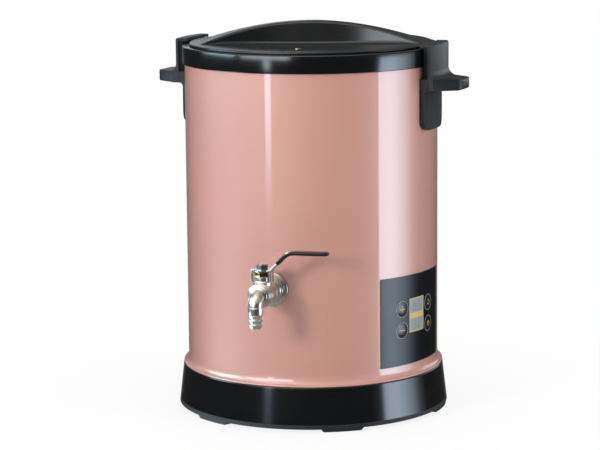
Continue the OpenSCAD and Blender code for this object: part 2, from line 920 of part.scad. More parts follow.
module lid_liner() {
    color("#c2c5c9")
    at(lid_at) difference() {
        translate([0, 0, liner_top - liner_t]) cylinder(r = liner_r, h = liner_t);
        liner_screws_at() translate([0, 0, liner_top - 2]) cylinder(r = screw_r + slip, h = 4);
        translate([vent_aside, -vent_at, liner_top - 2]) cylinder(r = vent_r, h = 4);
    }
}

module lid_seal() {
    color("#c4c2bb")
    ring(pot_r + 1.5, flange_r - 1.5, pot_top + fit, lid_top - lid_t);
}

module lid_screws() {
    color("silver")
    at(lid_at) liner_screws_at() {
        translate([0, 0, liner_top - liner_t - screw_head_h]) cylinder(r = screw_head_r, h = screw_head_h);
        translate([0, 0, liner_top - liner_t - 0.2]) cylinder(r = screw_r, h = 4);
    }
}

module grip_screws() {
    under = dish(grip_screw_at - screw_head_r) - lid_t;
    color("silver")
    at(lid_at) grip_screws_at() {
        translate([0, 0, under - screw_head_h]) cylinder(r = screw_head_r, h = screw_head_h);
        translate([0, 0, under - 0.2]) cylinder(r = screw_r, h = 11);
    }
}

module lid_vent() {
    tube_r = vent_r - 1.2;
    z = dish(norm([vent_aside, vent_at]) + vent_r);
    color("#b08a45")
    at(lid_at) translate([vent_aside, -vent_at, 0]) difference() {
        union() {
            translate([0, 0, z]) cylinder(r = vent_r, h = 0.7);
            translate([0, 0, z - lid_t - 0.9]) cylinder(r = tube_r, h = lid_t + 1);
        }
        translate([0, 0, z - lid_t - 2]) cylinder(r = tube_r - 0.6, h = lid_t + 4);
    }
}

// Tap

washer_t = 2;
rose_front = shell_r + washer_t + 2.2;
nut_front = rose_front + 6;
stem_y = shell_r + stem_out;
spout_y = stem_y + spout_gap;
chamber_r = ball_r + 1;
valve_r = chamber_r + valve_wall;
seat_in = 4.2;
seat_out = ball_r - 0.8;
valve_back = stem_y - valve_r;
valve_front = stem_y + seat_out + 3;
boss_foot = tap_z + valve_r - 3;
boss_top = tap_z + valve_r + 5.5;
seal_foot = boss_top - 4;
seal_r = stem_r + 1.9;
cap_top = boss_top + 4.6;
hub_z = cap_top + 0.5;
tang_z = tap_z + ball_r - 2.4;
tang = [1.8, 5];
stem_foot = tap_z + ball_r + 0.3;
stem_over = 4.8;

// A bar along the tap's axis
module tap_bar(r, a, b) bar(r, a, b, tap_z);

module tap_body() {
    color("#c5c3bd")
    difference() {
        union() {
            tap_bar(shank_r, shank_in, nut_front + 1);
            tap_bar(shank_r + 1.4, nut_front, valve_back + 2);
            tap_bar(valve_r, valve_back, valve_front - 1.2);
            tap_bar(valve_r - 1, valve_front - 2, valve_front);
            translate([0, -stem_y, boss_foot]) cylinder(r = seal_r + 2.4, h = boss_top - boss_foot);
        }
        tap_bar(way_r + 0.6, shank_in - 1, stem_y);
        tap_bar(chamber_r, stem_y - seat_out, valve_front + 1);
        translate([0, -stem_y, tap_z]) cylinder(r = stem_r + run, h = boss_top);
        translate([0, -stem_y, seal_foot]) cylinder(r = seal_r, h = 10);
    }
}

module tap_rose() {
    color("#c9c7c1")
    difference() {
        union() {
            tap_bar(rose_r, shell_r + washer_t, rose_front - 0.8);
            tap_bar(rose_r - 1, rose_front - 1, rose_front);
        }
        tap_bar(shank_r + fit, shell_r, rose_front + 1);
    }
}

module tap_washer() {
    color("#c9c4b8")
    difference() {
        tap_bar(rose_r - 0.6, shell_in - 2, shell_r + washer_t);
        cylinder(r = shell_r + run, h = rim_top, $fn = 720);
        tap_bar(shank_r + fit, shell_in - 3, shell_r + washer_t + 1);
    }
}

module tap_nut() {
    chamfer = 0.9;
    nut_r = shank_r + 4.6;
    color("#cbc9c3")
    difference() {
        union() {
            tap_bar(nut_r, rose_front, nut_front - chamfer);
            tap_bar(nut_r - chamfer, nut_front - chamfer - 0.1, nut_front);
        }
        tap_bar(shank_r + fit, rose_front - 1, nut_front + 1);
        for (i = [0:11])
            translate([0, -rose_front - 3, tap_z]) rotate([0, 30 * i, 0]) translate([nut_r, 0, 0])
                rotate([90, 0, 0]) cylinder(r = 0.9, h = 20);
    }
}

barb_pitch = 4.1;
barb_top = tap_z - spout_l + barb_count * barb_pitch;
neck_r = spout_r + 1.6;
way_down = way_r - 0.3;

module tap_spout() {
    land = 0.9;
    color("#c5c3bd")
    difference() {
        union() {
            tap_bar(chamber_r - run, stem_y + seat_out + fit, valve_front);
            tap_bar(valve_r - 1.4, valve_front, valve_front + 2.2);
            tap_bar(neck_r, valve_front, spout_y);
            translate([0, -spout_y, tap_z]) sphere(r = neck_r);
            translate([0, -spout_y, barb_top]) cylinder(r = spout_r, h = tap_z - barb_top);
            translate([0, -spout_y, barb_top]) cylinder(r = spout_r + 0.9, h = 7);
            for (i = [0:barb_count - 1]) translate([0, -spout_y, tap_z - spout_l + i * barb_pitch]) {
                cylinder(r1 = barb_r - 1.4, r2 = barb_r, h = barb_pitch - land);
                translate([0, 0, barb_pitch - land]) cylinder(r = barb_r, h = land);
            }
        }
        tap_bar(way_r, stem_y, spout_y);
        translate([0, -spout_y, tap_z]) sphere(r = way_r);
        translate([0, -spout_y, tap_z - spout_l - 1]) cylinder(r = way_down, h = spout_l + 1);
    }
}

module valve_ball() {
    color("#d4d6d8")
    translate([0, -stem_y, tap_z]) difference() {
        sphere(r = ball_r);
        rotate([0, 90, 0]) cylinder(r = way_r, h = 3 * ball_r, center = true);
        translate([-tang.y, -tang.x / 2 - fit, ball_r - 2.6]) cube([2 * tang.y, tang.x + 2 * fit, 10]);
    }
}

module ball_seats() {
    color("#efeee9")
    difference() {
        union() {
            tap_bar(chamber_r - run, stem_y + seat_in, stem_y + seat_out);
            tap_bar(chamber_r - run, stem_y - seat_out, stem_y - seat_in);
        }
        translate([0, -stem_y, tap_z]) sphere(r = ball_r + run);
        tap_bar(way_r, stem_y - 20, stem_y + 20);
    }
}

module valve_stem() {
    color("#b9bbbd")
    translate([0, -stem_y, 0]) {
        translate([-tang.y / 2, -tang.x / 2, tang_z]) cube([tang.y, tang.x, 4]);
        translate([0, 0, stem_foot]) cylinder(r = stem_r, h = hub_z + lever_t + stem_over - stem_foot);
    }
}

module stem_seal() {
    color("#26272a")
    translate([0, -stem_y, 0])
        ring(stem_r + run, seal_r - run, seal_foot, boss_top - 1.2);
}

module gland_cap() {
    color("#c5c3bd")
    translate([0, -stem_y, 0]) difference() {
        union() {
            translate([0, 0, boss_top]) hex(2 * (seal_r + 1.6), cap_top - boss_top);
            translate([0, 0, boss_top - 1.2]) cylinder(r = seal_r - run, h = 2);
        }
        translate([0, 0, boss_top - 2]) cylinder(r = stem_r + run, h = 20);
    }
}

// Lever: a bent strip, seen from the side as a path of points and from above as a paddle

lever_foot = 9;
hub_r = 8;
stop_at = 8.4;
stop_size = [1.8, 8, 10];
bend_run = 17;
arm_z = hub_z + lever_t / 2;
lever_path = [[-stop_at - stop_size.x, arm_z], [lever_foot, arm_z], [lever_foot + bend_run, arm_z + lever_rise],
    [lever_l, arm_z + lever_rise]];
sleeve_start = [lever_path[1].x + bend_run * 0.3, arm_z + lever_rise * 0.3];
sleeve_path = [sleeve_start, lever_path[2], [lever_l + sleeve_t, arm_z + lever_rise]];

function unit(v) = v / norm(v);
function side_of(a, b) = let (u = unit(b - a)) [-u.y, u.x];
function offset_at(path, i, d) = let (
    n0 = side_of(path[max(i - 1, 0)], path[max(i, 1)]),
    n1 = side_of(path[min(i, len(path) - 2)], path[min(i + 1, len(path) - 1)]),
    m = (n0 + n1) / (1 + n0 * n1)) path[i] + d * m;
function strip(path, d) = concat([for (i = [0:len(path) - 1]) offset_at(path, i, d)],
    [for (i = [len(path) - 1:-1:0]) offset_at(path, i, -d)]);

module lever_side(path, half, wide) {
    rotate([90, 0, 0])
        translate([0, 0, -wide])
            linear_extrude(2 * wide)
                polygon(strip(path, half));
}

module lever_plan(more) {
    half = lever_w / 2 + more;
    translate([0, 0, hub_z - 10])
        linear_extrude(lever_rise + 30) {
            circle(r = hub_r + more);
            translate([-stop_at - stop_size.x, -stop_size.y / 2]) square([stop_at, stop_size.y]);
            translate([0, -half]) square([lever_l + more - half, 2 * half]);
            translate([lever_l + more - half, 0]) circle(r = half);
        }
}

module tap_lever() {
    color("#b9bbbd")
    translate([0, -stem_y, 0]) difference() {
        union() {
            intersection() {
                lever_side(lever_path, lever_t / 2, 20);
                lever_plan(0);
            }
            for (x = [-stop_at - stop_size.x, stop_at])
                translate([x, -stop_size.y / 2, hub_z - stop_size.z])
                    cube(stop_size + [0, 0, lever_t / 2 + max(0, x - lever_foot)]);
        }
        translate([0, 0, hub_z - 2]) cylinder(r = stem_r + run, h = 10);
    }
}

module lever_sleeve() {
    color("#1a1b1d")
    translate([0, -stem_y, 0]) difference() {
        intersection() {
            lever_side(sleeve_path, lever_t / 2 + sleeve_t, 20);
            lever_plan(sleeve_t);
        }
        intersection() {
            lever_side(lever_path, lever_t / 2 + run, 20);
            lever_plan(run);
        }
    }
}

module lever_nut() {
    nut_h = 4.2;
    color("#c9cbcd")
    translate([0, -stem_y, hub_z + lever_t]) difference() {
        union() {
            hex(10, nut_h);
            cylinder(r = 6.4, h = 1);
        }
        translate([0, 0, -1]) cylinder(r = stem_r + run, h = 10);
    }
}

base_housing();
bottom_plate();
base_screws();
foot_pads();
cord_gland();
gland_nut();
outer_shell();
rim_ring();
inner_pot();
pot_gasket();
outlet_socket();
insulation_wrap();
heater_plate();
heater_tube();
heater_nut();
thermal_cutout();
pot_sensor();
heat_shield();
shield_posts();
power_board();
supply_transformer();
heater_relay();
terminal_block();
panel_film();
panel_tray();
control_board();
display_module();
display_lens();
key_switches();
plus_button();
minus_button();
power_button();
timer_button();
left_handle();
right_handle();
left_handle_core();
right_handle_core();
handle_screws();
lid_cover();
lid_grip();
lid_liner();
lid_seal();
lid_screws();
grip_screws();
lid_vent();
tap_body();
tap_rose();
tap_washer();
tap_nut();
tap_spout();
valve_ball();
ball_seats();
valve_stem();
stem_seal();
gland_cap();
tap_lever();
lever_sleeve();
lever_nut();
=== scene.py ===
import json
import math
import bpy
from mathutils import Matrix, Vector


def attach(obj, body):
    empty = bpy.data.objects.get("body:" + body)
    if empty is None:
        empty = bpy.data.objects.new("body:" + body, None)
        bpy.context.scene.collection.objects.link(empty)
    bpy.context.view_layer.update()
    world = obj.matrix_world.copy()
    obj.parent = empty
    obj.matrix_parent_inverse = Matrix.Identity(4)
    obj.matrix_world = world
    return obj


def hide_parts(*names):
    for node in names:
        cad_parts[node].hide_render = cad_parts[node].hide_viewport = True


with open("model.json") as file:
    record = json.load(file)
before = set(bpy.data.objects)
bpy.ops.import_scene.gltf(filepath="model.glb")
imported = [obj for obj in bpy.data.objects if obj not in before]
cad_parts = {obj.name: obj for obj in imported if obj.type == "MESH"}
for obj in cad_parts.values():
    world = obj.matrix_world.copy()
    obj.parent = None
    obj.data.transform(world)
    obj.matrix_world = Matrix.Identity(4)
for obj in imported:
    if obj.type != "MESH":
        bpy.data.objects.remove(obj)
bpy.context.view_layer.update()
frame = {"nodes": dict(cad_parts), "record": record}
cadNodes = frame["nodes"]
mm = 0.001
print("frame loaded,", len(cadNodes), "nodes")


# finishes: a wire carries a value through the shader, so sums are written as sums

class Wire:
    def __init__(self, finish, socket):
        self.finish, self.socket = finish, socket

    def sum(self, operation, first, second):
        return self.finish.node("ShaderNodeMath", {"operation": operation}, {0: first, 1: second})

    def __add__(self, other):
        return self.sum("ADD", self, other)

    def __radd__(self, other):
        return self.sum("ADD", other, self)

    def __sub__(self, other):
        return self.sum("SUBTRACT", self, other)

    def __rsub__(self, other):
        return self.sum("SUBTRACT", other, self)

    def __mul__(self, other):
        return self.sum("MULTIPLY", self, other)

    def __rmul__(self, other):
        return self.sum("MULTIPLY", other, self)

    def __lt__(self, other):
        return self.sum("LESS_THAN", self, other)


class Finish:
    def __init__(self, name, owner=None):
        self.block = owner or bpy.data.materials.new(name)
        self.block.use_nodes = True
        self.tree = self.block.node_tree
        self.shader = self.tree.nodes.get("Principled BSDF")

    def bare(self, kind):  # an empty tree, with only its output
        self.tree.nodes.clear()
        self.shader = self.tree.nodes.new(kind)
        return self

    def node(self, kind, settings=None, sockets=None, out=0):
        made = self.tree.nodes.new(kind)
        for key, value in (settings or {}).items():
            setattr(made, key, value)
        for key, value in (sockets or {}).items():
            self.feed(made.inputs[key], value)
        return Wire(self, made.outputs[out])

    def feed(self, socket, value):
        if isinstance(value, Wire):
            self.tree.links.new(value.socket, socket)
        elif socket.type == "RGBA" and len(value) == 3:
            socket.default_value = (*value, 1)
        else:
            socket.default_value = value

    def set(self, **values):
        for key, value in values.items():
            self.feed(self.shader.inputs[key.replace("_", " ")], value)

    def place(self):  # Object coordinates
        return self.node("ShaderNodeTexCoord", out=3)

    def parts(self, spot):
        split = self.tree.nodes.new("ShaderNodeSeparateXYZ")
        self.tree.links.new(spot.socket, split.inputs[0])
        return [Wire(self, socket) for socket in split.outputs]

    def root(self, value):
        return self.node("ShaderNodeMath", {"operation": "SQRT"}, {0: value})

    def noise(self, spot, scale, detail=3.0, rough=0.5):
        sockets = {"Vector": spot, "Scale": scale, "Detail": detail, "Roughness": rough}
        return self.node("ShaderNodeTexNoise", {}, sockets)

    def blend(self, factor, first, second):
        made = self.tree.nodes.new("ShaderNodeMix")
        made.data_type = "RGBA"
        for index, value in ((0, factor), (6, first), (7, second)):
            self.feed(made.inputs[index], value)
        return Wire(self, made.outputs[2])

    def ramp(self, value, start, end, low, high):
        sockets = {"Value": value, "From Min": start, "From Max": end, "To Min": low, "To Max": high}
        return self.node("ShaderNodeMapRange", {}, sockets)

    def spread(self, value, low, high):
        return self.ramp(value, 0.0, 1.0, low, high)

    def bump(self, height, strength, depth):
        sockets = {"Height": height, "Strength": strength, "Distance": depth * mm}
        return self.node("ShaderNodeBump", {}, sockets)


finishes = {}


def finish(slot):
    made = Finish(slot)
    finishes[slot] = made.block
    return made


def painted(slot, look):
    made = finish(slot)
    spot = made.place()
    cloud = made.noise(spot, look["cloudScale"])
    flake = made.noise(spot, look["flakeScale"], 1.0)
    peel = made.noise(spot, look["peelScale"], 2.0)
    tone = made.blend(cloud, look["dark"], look["light"])
    tone = made.blend(flake * look["flake"], tone, look["flakeTint"])
    made.set(Base_Color=tone, Roughness=made.spread(flake, *look["rough"]), Metallic=look["metal"],
             IOR=look["ior"], Coat_Weight=look["coat"], Coat_Roughness=look["coatRough"],
             Coat_IOR=look["coatIor"], Normal=made.bump(peel, look["peel"], 0.05))


def moulded(slot, look):
    made = finish(slot)
    spot = made.place()
    cloud = made.noise(spot, look["cloudScale"], 4.0)
    grain = made.noise(spot, look["grainScale"], 2.0)
    tone = made.blend(cloud, look["dark"], look["light"])
    rough = made.spread(cloud, *look["rough"])
    if "matteBelow" in look:  # the feet are duller
        rough = rough + (made.parts(spot)[2] < look["matteBelow"] * mm) * look["matte"]
    made.set(Base_Color=tone, Roughness=rough, Specular_IOR_Level=look["shine"],
             Normal=made.bump(grain, look["grain"], 0.08))


def metal(slot, look):
    made = finish(slot)
    spot = made.place()
    cloud = made.noise(spot, look["cloudScale"], 4.0)
    line = made.noise(spot, look["lineScale"], 3.0)
    tone = made.blend(cloud, look["dark"], look["light"])
    rough = made.spread(line * 0.6 + cloud * 0.4, *look["rough"])
    made.set(Base_Color=tone, Roughness=rough, Metallic=1.0, Normal=made.bump(line, look["line"], 0.04))


def brushed(slot, look):  # fine lines that run round the drum's axis
    made = finish(slot)
    spot = made.place()
    x, y, z = made.parts(spot)
    radius = made.root(x * x + y * y)
    lines = {"X": radius * look["lineScale"], "Z": z * look["lineScale"]}
    line = made.noise(made.node("ShaderNodeCombineXYZ", {}, lines), 1.0, 4.0, 0.7)
    cloud = made.noise(spot, look["cloudScale"], 4.0)
    mixed = line * 0.5 + cloud * 0.5
    made.set(Base_Color=made.blend(mixed, look["dark"], look["light"]), Metallic=1.0,
             Roughness=made.spread(mixed, *look["rough"]), Normal=made.bump(line, look["line"], 0.03))


painted("rose_paint", {"dark": (0.505, 0.216, 0.163), "light": (0.535, 0.238, 0.183), "cloudScale": 9.0,
                       "flake": 0.14, "flakeTint": (0.73, 0.48, 0.42), "flakeScale": 2600.0,
                       "peel": 0.05, "peelScale": 420.0, "rough": (0.44, 0.52), "ior": 2.2, "metal": 0.04,
                       "coat": 1.0, "coatIor": 1.7, "coatRough": 0.06})
moulded("gloss_black", {"dark": (0.0030, 0.0034, 0.0040), "light": (0.0052, 0.0058, 0.0066),
                        "cloudScale": 22.0, "grainScale": 700.0, "grain": 0.02, "rough": (0.12, 0.19),
                        "shine": 0.9, "matteBelow": 7.6, "matte": 0.5})
moulded("panel_black", {"dark": (0.0032, 0.0040, 0.0052), "light": (0.0055, 0.0066, 0.0082),
                        "cloudScale": 30.0, "grainScale": 1800.0, "grain": 0.03, "rough": (0.19, 0.25),
                        "shine": 0.5})
moulded("satin_black", {"dark": (0.013, 0.0142, 0.0165), "light": (0.019, 0.0206, 0.0238),
                        "cloudScale": 30.0, "grainScale": 1900.0, "grain": 0.10, "rough": (0.34, 0.44),
                        "shine": 0.34})
moulded("core_black", {"dark": (0.005, 0.0055, 0.0065), "light": (0.008, 0.0088, 0.010), "cloudScale": 20.0,
                       "grainScale": 1200.0, "grain": 0.05, "rough": (0.46, 0.56), "shine": 0.12})
moulded("lid_black", {"dark": (0.0045, 0.0052, 0.0062), "light": (0.0070, 0.0078, 0.0090),
                      "cloudScale": 26.0, "grainScale": 1500.0, "grain": 0.05, "rough": (0.22, 0.30),
                      "shine": 0.75})
# dark grey: the seals are black silicone, and it is this dark so that the tap washer's rim behind the rose
# also gives painted contact shade round the rose
moulded("silicone", {"dark": (0.040, 0.041, 0.043), "light": (0.060, 0.061, 0.064), "cloudScale": 40.0,
                     "grainScale": 1500.0, "grain": 0.08, "rough": (0.50, 0.62), "shine": 0.4})
moulded("foot_rubber", {"dark": (0.016, 0.016, 0.017), "light": (0.03, 0.03, 0.031), "cloudScale": 60.0,
                        "grainScale": 2200.0, "grain": 0.2, "rough": (0.68, 0.82), "shine": 0.3})
moulded("circuit_board", {"dark": (0.02, 0.12, 0.05), "light": (0.04, 0.18, 0.085), "cloudScale": 120.0,
                          "grainScale": 900.0, "grain": 0.05, "rough": (0.35, 0.5), "shine": 0.5})
moulded("glass_fibre", {"dark": (0.55, 0.53, 0.47), "light": (0.74, 0.72, 0.66), "cloudScale": 260.0,
                        "grainScale": 800.0, "grain": 0.5, "rough": (0.85, 0.95), "shine": 0.2})
moulded("white_ptfe", {"dark": (0.74, 0.74, 0.71), "light": (0.82, 0.82, 0.80), "cloudScale": 60.0,
                       "grainScale": 1500.0, "grain": 0.05, "rough": (0.42, 0.55), "shine": 0.4})
moulded("dip_vinyl", {"dark": (0.007, 0.0075, 0.0085), "light": (0.012, 0.0125, 0.014), "cloudScale": 90.0,
                      "grainScale": 500.0, "grain": 0.06, "rough": (0.10, 0.17), "shine": 0.3})
moulded("pale_window", {"dark": (0.26, 0.305, 0.32), "light": (0.30, 0.345, 0.36), "cloudScale": 240.0,
                        "grainScale": 2600.0, "grain": 0.03, "rough": (0.14, 0.22), "shine": 0.5})
moulded("relay_case", {"dark": (0.03, 0.075, 0.22), "light": (0.05, 0.11, 0.30), "cloudScale": 90.0,
                       "grainScale": 1200.0, "grain": 0.05, "rough": (0.35, 0.45), "shine": 0.5})
moulded("winding", {"dark": (0.15, 0.10, 0.05), "light": (0.25, 0.18, 0.09), "cloudScale": 200.0,
                    "grainScale": 900.0, "grain": 0.3, "rough": (0.35, 0.55), "shine": 0.5})
moulded("gold_print", {"dark": (0.50, 0.36, 0.13), "light": (0.62, 0.46, 0.18), "cloudScale": 300.0,
                       "grainScale": 2600.0, "grain": 0.04, "rough": (0.28, 0.40), "shine": 0.6})
moulded("pale_print", {"dark": (0.30, 0.285, 0.25), "light": (0.38, 0.36, 0.32), "cloudScale": 300.0,
                       "grainScale": 2600.0, "grain": 0.04, "rough": (0.35, 0.45), "shine": 0.5})
moulded("digit_grey", {"dark": (0.12, 0.155, 0.17), "light": (0.16, 0.20, 0.215), "cloudScale": 300.0,
                       "grainScale": 2600.0, "grain": 0.03, "rough": (0.25, 0.35), "shine": 0.4})
metal("nickel", {"dark": (0.73, 0.685, 0.60), "light": (0.85, 0.805, 0.72), "cloudScale": 90.0,
                 "lineScale": 260.0, "rough": (0.26, 0.36), "line": 0.10})
metal("plain_steel", {"dark": (0.72, 0.73, 0.74), "light": (0.84, 0.845, 0.85), "cloudScale": 140.0,
                      "lineScale": 500.0, "rough": (0.22, 0.36), "line": 0.12})
metal("dark_steel", {"dark": (0.17, 0.175, 0.18), "light": (0.28, 0.285, 0.29), "cloudScale": 200.0,
                     "lineScale": 700.0, "rough": (0.28, 0.42), "line": 0.15})
metal("aluminium", {"dark": (0.46, 0.46, 0.47), "light": (0.56, 0.56, 0.57), "cloudScale": 110.0,
                    "lineScale": 800.0, "rough": (0.38, 0.52), "line": 0.3})
metal("brass", {"dark": (0.50, 0.32, 0.10), "light": (0.66, 0.46, 0.18), "cloudScale": 160.0,
                "lineScale": 700.0, "rough": (0.18, 0.30), "line": 0.12})
brushed("stainless", {"dark": (0.50, 0.50, 0.51), "light": (0.64, 0.64, 0.65), "cloudScale": 14.0,
                      "lineScale": 2400.0, "rough": (0.22, 0.38), "line": 0.12})

for row in frame["record"]["subparts"]:  # every solid takes the finish of its slot
    node = cadNodes[row["node"]]
    node.data.materials.clear()
    node.data.materials.append(finishes[row["material_slot"]])
cadNodes["panel_film"].data.materials[0] = finishes["panel_black"]  # a finer grain than the other black
print("finishes ready,", len(finishes))


# modelling helpers

def startPiece(name, kind, **settings):
    bpy.ops.object.select_all(action="DESELECT")
    getattr(bpy.ops.mesh, "primitive_" + kind + "_add")(**settings)
    piece = bpy.context.object
    piece.name = piece.data.name = name
    return piece


def only(piece):
    bpy.ops.object.select_all(action="DESELECT")
    piece.select_set(True)
    bpy.context.view_layer.objects.active = piece


def settle(piece, place):  # puts a piece where it belongs, with its place in its mesh
    only(piece)
    piece.matrix_world = place
    bpy.ops.object.transform_apply(location=True, rotation=True, scale=True)


def cleanUp(piece, gap=1e-6):
    only(piece)
    bpy.ops.object.mode_set(mode="EDIT")
    bpy.ops.mesh.select_all(action="SELECT")
    bpy.ops.mesh.remove_doubles(threshold=gap)
    bpy.ops.mesh.normals_make_consistent(inside=False)
    bpy.ops.object.mode_set(mode="OBJECT")


def modify(piece, kind, **settings):
    only(piece)
    change = piece.modifiers.new(kind.lower(), kind)
    for key, value in settings.items():
        setattr(change, key, value)
    bpy.ops.object.modifier_apply(modifier=change.name)


def smooth(piece, angle=32):
    only(piece)
    bpy.ops.object.shade_smooth_by_angle(angle=math.radians(angle))


def join(first, *others):
    only(first)
    for other in others:
        other.select_set(True)
    if others:
        bpy.ops.object.join()
    return first


def cut(piece, cutter, operation="DIFFERENCE"):
    modify(piece, "BOOLEAN", object=cutter, operation=operation, solver="EXACT")
    bpy.data.objects.remove(cutter)


def dress(piece, slot, body, *stoodFor):
    piece.data.materials.clear()
    piece.data.materials.append(finishes[slot])
    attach(piece, body)
    if stoodFor:
        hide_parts(*stoodFor)
    return piece


def turnZ(angle):
    return Matrix.Rotation(math.radians(angle), 4, "Z")


def shift(x, y, z):
    return Matrix.Translation((x * mm, y * mm, z * mm))


def outward(angle, height):  # Z of a piece points out of the drum at that angle and height
    return turnZ(angle) @ shift(0, 0, height) @ Matrix.Rotation(math.pi / 2, 4, "X")


def arcPoints(centre, radius, start, end, parts):
    turns = [math.radians(start + (end - start) * i / parts) for i in range(parts + 1)]
    return [(centre[0] + radius * math.cos(a), centre[1] + radius * math.sin(a)) for a in turns]


def softened(corners, parts=5):  # (r, z, radius): the corner becomes an arc of that radius
    points = []
    for i, corner in enumerate(corners):
        if len(corner) < 3:
            points.append(corner)
            continue
        here, before, after = (Vector(c[:2]) for c in (corner, corners[i - 1], corners[i + 1]))
        a, b = (before - here).normalized(), (after - here).normalized()
        half = a.angle(b) / 2
        centre = here + (a + b).normalized() * corner[2] / math.sin(half)
        first = here + a * corner[2] / math.tan(half) - centre
        last = here + b * corner[2] / math.tan(half) - centre
        swing = math.atan2(first.x * last.y - first.y * last.x, first.dot(last))
        for k in range(parts + 1):
            t = swing * k / parts
            points.append((centre.x + first.x * math.cos(t) - first.y * math.sin(t),
                           centre.y + first.x * math.sin(t) + first.y * math.cos(t)))
    return points


def turned(name, outline, steps=96, place=None, angle=32):  # an outline of (r, z) in mm, spun round Z
    piece = startPiece(name, "plane", size=mm)
    bpy.ops.object.mode_set(mode="EDIT")
    bpy.ops.mesh.merge(type="CENTER")
    bpy.ops.transform.translate(value=(outline[0][0] * mm, 0, outline[0][1] * mm))
    for (r0, z0), (r1, z1) in zip(outline, outline[1:]):
        move = {"value": ((r1 - r0) * mm, 0, (z1 - z0) * mm)}
        bpy.ops.mesh.extrude_vertices_move(TRANSFORM_OT_translate=move)
    bpy.ops.mesh.select_all(action="SELECT")
    bpy.ops.mesh.spin(steps=steps, angle=2 * math.pi, center=(0, 0, 0), axis=(0, 0, 1))
    bpy.ops.object.mode_set(mode="OBJECT")
    cleanUp(piece)
    if place:
        settle(piece, place)
    smooth(piece, angle)
    return piece


def softCopy(name, node, width, parts=3, angle=28):  # a solid's own shape with rounded edges
    piece = cadNodes[node].copy()
    piece.data = cadNodes[node].data.copy()
    bpy.context.scene.collection.objects.link(piece)
    for key in list(piece.keys()):
        del piece[key]
    piece.parent = None
    piece.matrix_world = Matrix.Identity(4)
    piece.name = piece.data.name = name
    cleanUp(piece)
    if piece.data.has_custom_normals:
        bpy.ops.mesh.customdata_custom_splitnormals_clear()
    bpy.ops.object.mode_set(mode="EDIT")
    bpy.ops.mesh.select_all(action="SELECT")
    bpy.ops.mesh.dissolve_limited(angle_limit=math.radians(0.6))
    bpy.ops.object.mode_set(mode="OBJECT")
    modify(piece, "BEVEL", width=width * mm, segments=parts, limit_method="ANGLE",
           angle_limit=math.radians(angle), use_clamp_overlap=True, harden_normals=False)
    smooth(piece, 40)
    return piece


# drum: sheet wall with a flared lip that ends in a rolled bead

drum = {"r": 125.0, "sheet": 0.8, "top": 354.9, "lip": 45.3, "flareW": 4.0, "flareH": 9.0, "bead": 0.9,
        "start": 200, "loops": (152, 142.5, 124, 57), "steps": 192, "tapHole": 8.65, "keyGap": 0.25}
panel = {"at": 71.5, "half": 10.1, "rows": (111.5, 90.5), "face": 125.95, "buttonR": 7.2}
tap = {"z": 138.0, "stem": 153.0, "spout": 173.5}


def drumOutline():
    inner = drum["r"] - drum["sheet"]
    flare, back = [], []
    for i in range(13):
        c, s = math.cos(math.radians(90 * i / 12)), math.sin(math.radians(90 * i / 12))
        r, z = drum["r"] + drum["flareW"] * (1 - c), drum["lip"] + drum["flareH"] * (1 - s)
        flare.append((r, z))
        back.append((r - drum["sheet"] * c, z - drum["sheet"] * s))
    roll = arcPoints((drum["r"] + drum["flareW"], drum["lip"] - drum["bead"]), drum["bead"], 80, -180, 16)
    wall = [(inner, drum["start"]), (inner, drum["top"]), (drum["r"], drum["top"])]
    wall += [(drum["r"], z) for z in drum["loops"]]
    return wall + flare + roll + back[-2::-1] + wall[:1]


def punch(piece, radius, angle, height):  # a round hole through the wall
    peg = startPiece("peg", "cylinder", vertices=48, radius=radius * mm, depth=20 * mm)
    settle(peg, outward(angle, height) @ shift(0, 0, drum["r"]))
    cut(piece, peg)


shell = turned("drumShell", drumOutline(), drum["steps"])
for z in panel["rows"]:
    for side in (-1, 1):
        punch(shell, panel["buttonR"] + drum["keyGap"], panel["at"] + side * panel["half"], z)
punch(shell, drum["tapHole"], 0, tap["z"])
smooth(shell)
dress(shell, "rose_paint", "drum", "outer_shell")
print("drum wall")


# top ring: a skirt over the drum's edge, a rib inside it and the seat of the pot

ring = {"r": 127.2, "top": 361.0, "foot": 343.5, "mouth": 118.25, "skirt": 125.25, "under": 355.0,
        "ribOut": 123.95, "ribIn": 121.75, "ribFoot": 346.5, "seatR": 109.4, "seat": 358.5, "steps": 192}
ringStart = (ring["mouth"], ring["seat"] + 1)
ringOutline = softened([ringStart, (ring["mouth"], ring["top"], 0.7), (ring["r"], ring["top"], 1.3),
                        (ring["r"], ring["foot"], 0.8), (ring["skirt"], ring["foot"]),
                        (ring["skirt"], ring["under"]), (ring["ribOut"], ring["under"]),
                        (ring["ribOut"], ring["ribFoot"]), (ring["ribIn"], ring["ribFoot"]),
                        (ring["ribIn"], ring["under"]), (ring["seatR"], ring["under"]),
                        (ring["seatR"], ring["seat"]), (ring["mouth"], ring["seat"]), ringStart])
dress(turned("topRing", ringOutline, ring["steps"]), "gloss_black", "drum", "rim_ring")


# lid: a nearly flat cover with a collar below and a bridge-like hollow grip across it

lid = {"r": 120.0, "top": 363.4, "thick": 1.8, "dishR": 105.0, "dishH": 2.0, "turn": 16.0, "collarR": 107.0,
       "collarFoot": 352.6, "steps": 192}


def dishLevel(r):
    return lid["top"] - lid["dishH"] * (1 - (min(r, lid["dishR"]) / lid["dishR"]) ** 2)


